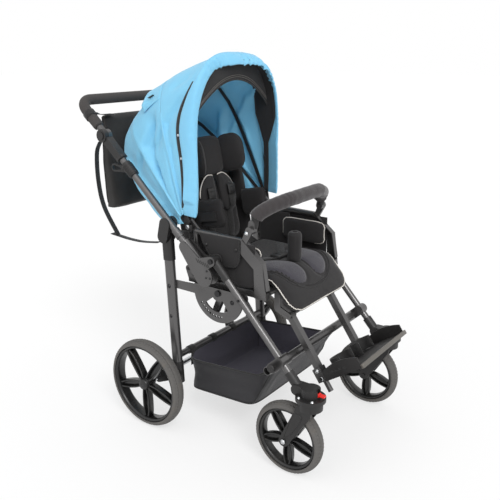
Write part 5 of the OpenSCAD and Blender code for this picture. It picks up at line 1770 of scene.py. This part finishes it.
class BUGGY_OT_fittings(bpy.types.Operator):
    """Builds the bolts, rivets, studs, caps and plates that sit on the frame."""

    bl_idname = "buggy.fittings"
    bl_label = "Fittings"

    # Name, the CAD node it sits on, body, place from the side (y, z), diameter and material
    sideways = (
        ("leg_bolt_high", "rear_legs", "chassis", 0.1241, 0.4859, 0.011, dark_steel),
        ("leg_bolt_low", "rear_legs", "chassis", 0.1208, 0.3836, 0.009, dark_steel),
        ("sector_bolt", "sector_plates", "chassis", -0.1183, 0.4787, 0.011, dark_steel),
        ("cheek_rivet_a", "fold_cheeks", "upper_frame", -0.0450, 0.5521, 0.0055, dark_steel),
        ("cheek_rivet_b", "fold_cheeks", "upper_frame", -0.0480, 0.5740, 0.0055, dark_steel),
        ("cheek_rivet_c", "fold_cheeks", "upper_frame", -0.0600, 0.5530, 0.0055, dark_steel),
        ("bumper_pivot", "guard_plates", "seat", -0.1560, 0.6950, 0.010, zinc),
        ("panel_stud_front", "side_panels", "seat", -0.1232, 0.6419, 0.008, nylon),
        ("panel_stud_rear", "side_panels", "seat", -0.0100, 0.6400, 0.008, nylon),
    )

    def execute(self, context):
        """Builds the pieces."""
        for name, side in SIDES:
            out = Vector((side, 0, 0))
            for label, node, body, y, z, size, material in self.sideways:
                spot = touch(node, (side * 0.4, y, z), -out)
                if node == "side_panels":
                    spot = spot + out * 0.0020
                bolt(f"{label}_{name}", spot, out, size, material(), body)
            axle = pivot(f"front_wheel_{name}_spin")
            bolt(
                "front_axle_bolt_" + name, touch("caster_fork_" + name, (side * 0.4, axle.y, axle.z), -out),
                out, 0.012, zinc(), "caster_" + name,
            )
            for k, y in enumerate((-0.3889, -0.4324)):
                spot = touch("caster_housings", (side * 0.2830, y, 0.32), (0, 0, -1))
                bolt(f"caster_rivet_{name}_{k}", spot, (0, 0, 1), 0.0075, zinc(), "chassis", 0.0045)
            self.hood_hinge(name, side)
            self.fork_panel(name, side)
            self.teeth(name, side)
            self.foot(name, side)
            cap = [
                (0.0003, -0.004), (0.0112, -0.004), (0.0128, -0.0002), (0.0128, 0.0012), (0.0112, 0.0030),
                (0.0003, 0.0034),
            ]
            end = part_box("front_cross_tube")
            centre = (end[0] + end[1]) / 2
            turned(
                "cross_tube_cap_" + name, cap, (side * end[1].x, centre.y, centre.z), out, nylon(), "chassis",
                32,
            )
        low, high = (-0.147, 0.1595, -0.0105), (0.147, 0.1692, 0.0025)
        block("foot_strip", low, high, FOOT, 0.0012, aluminium(), "footplate")
        return {"FINISHED"}

    def hood_hinge(self, name, side):
        """The black block under the end of the hood's roll, with its bright bolt."""
        here = Matrix.Translation((side * 0.2165, 0.0690, 0.6810))
        block(
            "hood_hinge_" + name, (-0.0032, -0.021, -0.012), (0.0032, 0.021, 0.010), here, 0.0025, nylon(),
            "seat",
        )
        bolt(
            "hood_hinge_bolt_" + name, (side * 0.2195, 0.0640, 0.6830), (side, 0, 0), 0.011, zinc(), "seat",
            0.0024,
        )

    def fork_panel(self, name, side):
        """The sunk panel on the outer face of a caster fork leg, drawn as its raised rim."""
        outline = (
            (-0.3740, 0.2130), (-0.4010, 0.2090), (-0.3680, 0.1500), (-0.3500, 0.1300), (-0.3440, 0.1360)
        )
        face = touch("caster_fork_" + name, (side * 0.4, -0.3740, 0.1850), (-side, 0, 0)).x
        line = smooth_path([(face + side * 0.0002, y, z) for y, z in outline], 8, True)
        tube("fork_rim_" + name, line, 0.0011, nylon(), "caster_" + name, 8, True)

    def teeth(self, name, side):
        """The row of dark ribs at the top of a fold housing."""
        for k in range(6):
            y, z = -0.0115 - 0.0088 * k, 0.6010 - 0.0022 * k
            here = Matrix.Translation((side * 0.2655, y, z)) @ Matrix.Rotation(radians(-34), 4, "X")
            block(
                f"fold_rib_{name}_{k}", (-0.0006, -0.0014, -0.008), (0.0010, 0.0014, 0.008), here, 0.0004,
                nylon(), "upper_frame",
            )

    def foot(self, name, side):
        """The clamp screws of the legrest, and thin black blocks on a wing of the footplate whose black is
        painted shade for its slots.
        """
        spot = touch("legrest_frame", CALF @ Vector((side * 0.25, 0.186, 0.002)), (-side, 0, 0))
        heel = pivot("footplate_flip")
        for k, centre in enumerate((spot, Vector((spot.x, heel.y, heel.z)))):
            bolt(f"clamp_screw_{name}_{k}", centre, (side, 0, 0), 0.010, zinc(), "legrest", 0.003)
        # Painted shade: each slot is a thin black block whose black stands for the shade inside the slot.
        for k in range(5):
            here = FOOT @ Matrix.Translation((side * 0.1460, 0.040 + 0.016 * k, 0.010 + 0.002 * (k % 2)))
            block(
                f"wing_slot_shade_{name}_{k}", (-0.0002, -0.0052, -0.0030), (0.0005, 0.0052, 0.0030), here, 0.0002,
                webbing(), "footplate", slot="black_nylon_plastic",
            )


class BUGGY_OT_studio(bpy.types.Operator):
    """Builds the pale floor, the soft lights and the camera at the photograph's angle."""

    bl_idname = "buggy.studio"
    bl_label = "Studio"

    # Strength of the sky as light, and the share of plain white in the floor that is seen
    sky_light, floor_white = 0.62, 0.62
    # The camera solved from the photograph: place in metres, turn, tilt and roll in degrees, lens in mm
    camera_place, camera_turn, camera_tilt, camera_roll = (-1.6922, -1.2541, 1.2056), -53.77, 73.11, -0.23
    camera_lens, camera_sensor = 47.47, 36.0
    # Name, direction, strength and spread in degrees of each lamp
    lamps = (
        ("key", (0.42, 0.62, -0.66), 1.45, 26.0),
        ("fill", (0.75, -0.10, -0.55), 0.40, 60.0),
        ("top", (0.0, 0.1, -1.0), 0.35, 70.0),
    )

    def execute(self, context):
        """Builds the stage."""
        scene = context.scene
        size = 30.0
        floor = bpy.data.meshes.new("floor")
        floor.from_pydata(
            [(-size, -size, 0), (size, -size, 0), (size, size, 0), (-size, size, 0)], [], [(0, 1, 2, 3)]
        )
        ground = bpy.data.objects.new("floor", floor)
        scene.collection.objects.link(ground)
        paint = bpy.data.materials.new("Studio floor, white")
        paint.use_nodes = True
        shader = paint.node_tree.nodes["Principled BSDF"]
        shader.inputs["Base Color"].default_value = (0.94, 0.94, 0.94, 1)
        shader.inputs["Roughness"].default_value = 0.9
        shader.inputs["Specular IOR Level"].default_value = 0.0
        self.lighten(paint.node_tree, shader)
        floor.materials.append(paint)
        world = bpy.data.worlds.new("studio")
        scene.world = world
        world.use_nodes = True
        tree = world.node_tree
        sky = tree.nodes["Background"]
        sky.inputs["Color"].default_value = (1, 1, 1, 1)
        tree.links.new(self.seen(tree, self.sky_light, 1.0), sky.inputs["Strength"])
        for name, towards, power, spread in self.lamps:
            lamp = bpy.data.lights.new(name, "SUN")
            lamp.energy = power
            lamp.angle = radians(spread)
            made = bpy.data.objects.new(name, lamp)
            made.rotation_euler = Vector(towards).to_track_quat("-Z", "Y").to_euler()
            scene.collection.objects.link(made)
        lens = bpy.data.cameras.new("camera")
        lens.sensor_width = self.camera_sensor
        lens.lens = self.camera_lens
        camera = bpy.data.objects.new("camera", lens)
        place = Matrix.Translation(self.camera_place)
        for angle, axis in ((self.camera_turn, "Z"), (self.camera_tilt, "X"), (self.camera_roll, "Z")):
            place = place @ Matrix.Rotation(radians(angle), 4, axis)
        camera.matrix_world = place
        scene.collection.objects.link(camera)
        scene.camera = camera
        scene.view_settings.view_transform = "Standard"
        return {"FINISHED"}

    def seen(self, tree, low, high):
        """A value that is high where the camera, metal or glass looks, and low for light on the object."""
        path = add(tree, "LightPath").node.outputs
        looks = {0: path["Is Camera Ray"], 1: path["Is Glossy Ray"]}
        looks = {0: add(tree, "Math", looks, operation="MAXIMUM"), 1: path["Is Transmission Ray"]}
        both = add(tree, "Math", looks, operation="MAXIMUM")
        return add(tree, "MapRange", {0: both, 1: 0, 2: 1, 3: low, 4: high})

    def lighten(self, tree, shader):
        """Mixes plain white into what the camera, metal and glass see of the floor: its shadows stay pale."""
        share = self.seen(tree, 0.0, self.floor_white)
        glow = add(tree, "Emission", {"Strength": 1.0})
        mixed = add(tree, "MixShader", {0: share, 1: shader.outputs["BSDF"], 2: glow})
        tree.links.new(mixed, tree.nodes["Material Output"].inputs["Surface"])


class BUGGY_PT_panel(bpy.types.Panel):
    """The buggy's settings in the sidebar."""

    bl_label = "Buggy"
    bl_space_type = "VIEW_3D"
    bl_region_type = "UI"
    bl_category = "Buggy"

    def draw(self, context):
        """Shows the settings and the operators."""
        for group in (context.scene.buggy_colours, context.scene.buggy_sizes):
            for key in group.__annotations__:
                self.layout.prop(group, key)
        for step in STEPS:
            self.layout.operator(step.bl_idname)


STEPS = (
    BUGGY_OT_studio, BUGGY_OT_frame, BUGGY_OT_fittings, BUGGY_OT_wheels, BUGGY_OT_handle, BUGGY_OT_foot,
    BUGGY_OT_seat, BUGGY_OT_back, BUGGY_OT_sides, BUGGY_OT_basket, BUGGY_OT_bag, BUGGY_OT_hood,
)
CLASSES = (BuggyColours, BuggySizes, *STEPS, BUGGY_PT_panel)


def register():
    """Registers the settings, the operators and the panel."""
    for item in CLASSES:
        bpy.utils.register_class(item)
    bpy.types.Scene.buggy_colours = PointerProperty(type=BuggyColours)
    bpy.types.Scene.buggy_sizes = PointerProperty(type=BuggySizes)


def unregister():
    """Removes what register added."""
    del bpy.types.Scene.buggy_sizes
    del bpy.types.Scene.buggy_colours
    for item in reversed(CLASSES):
        bpy.utils.unregister_class(item)


def main():
    """Builds everything."""
    register()
    for step in STEPS:
        getattr(bpy.ops.buggy, step.bl_idname.split(".")[1])()


if __name__ == "__main__":
    main()
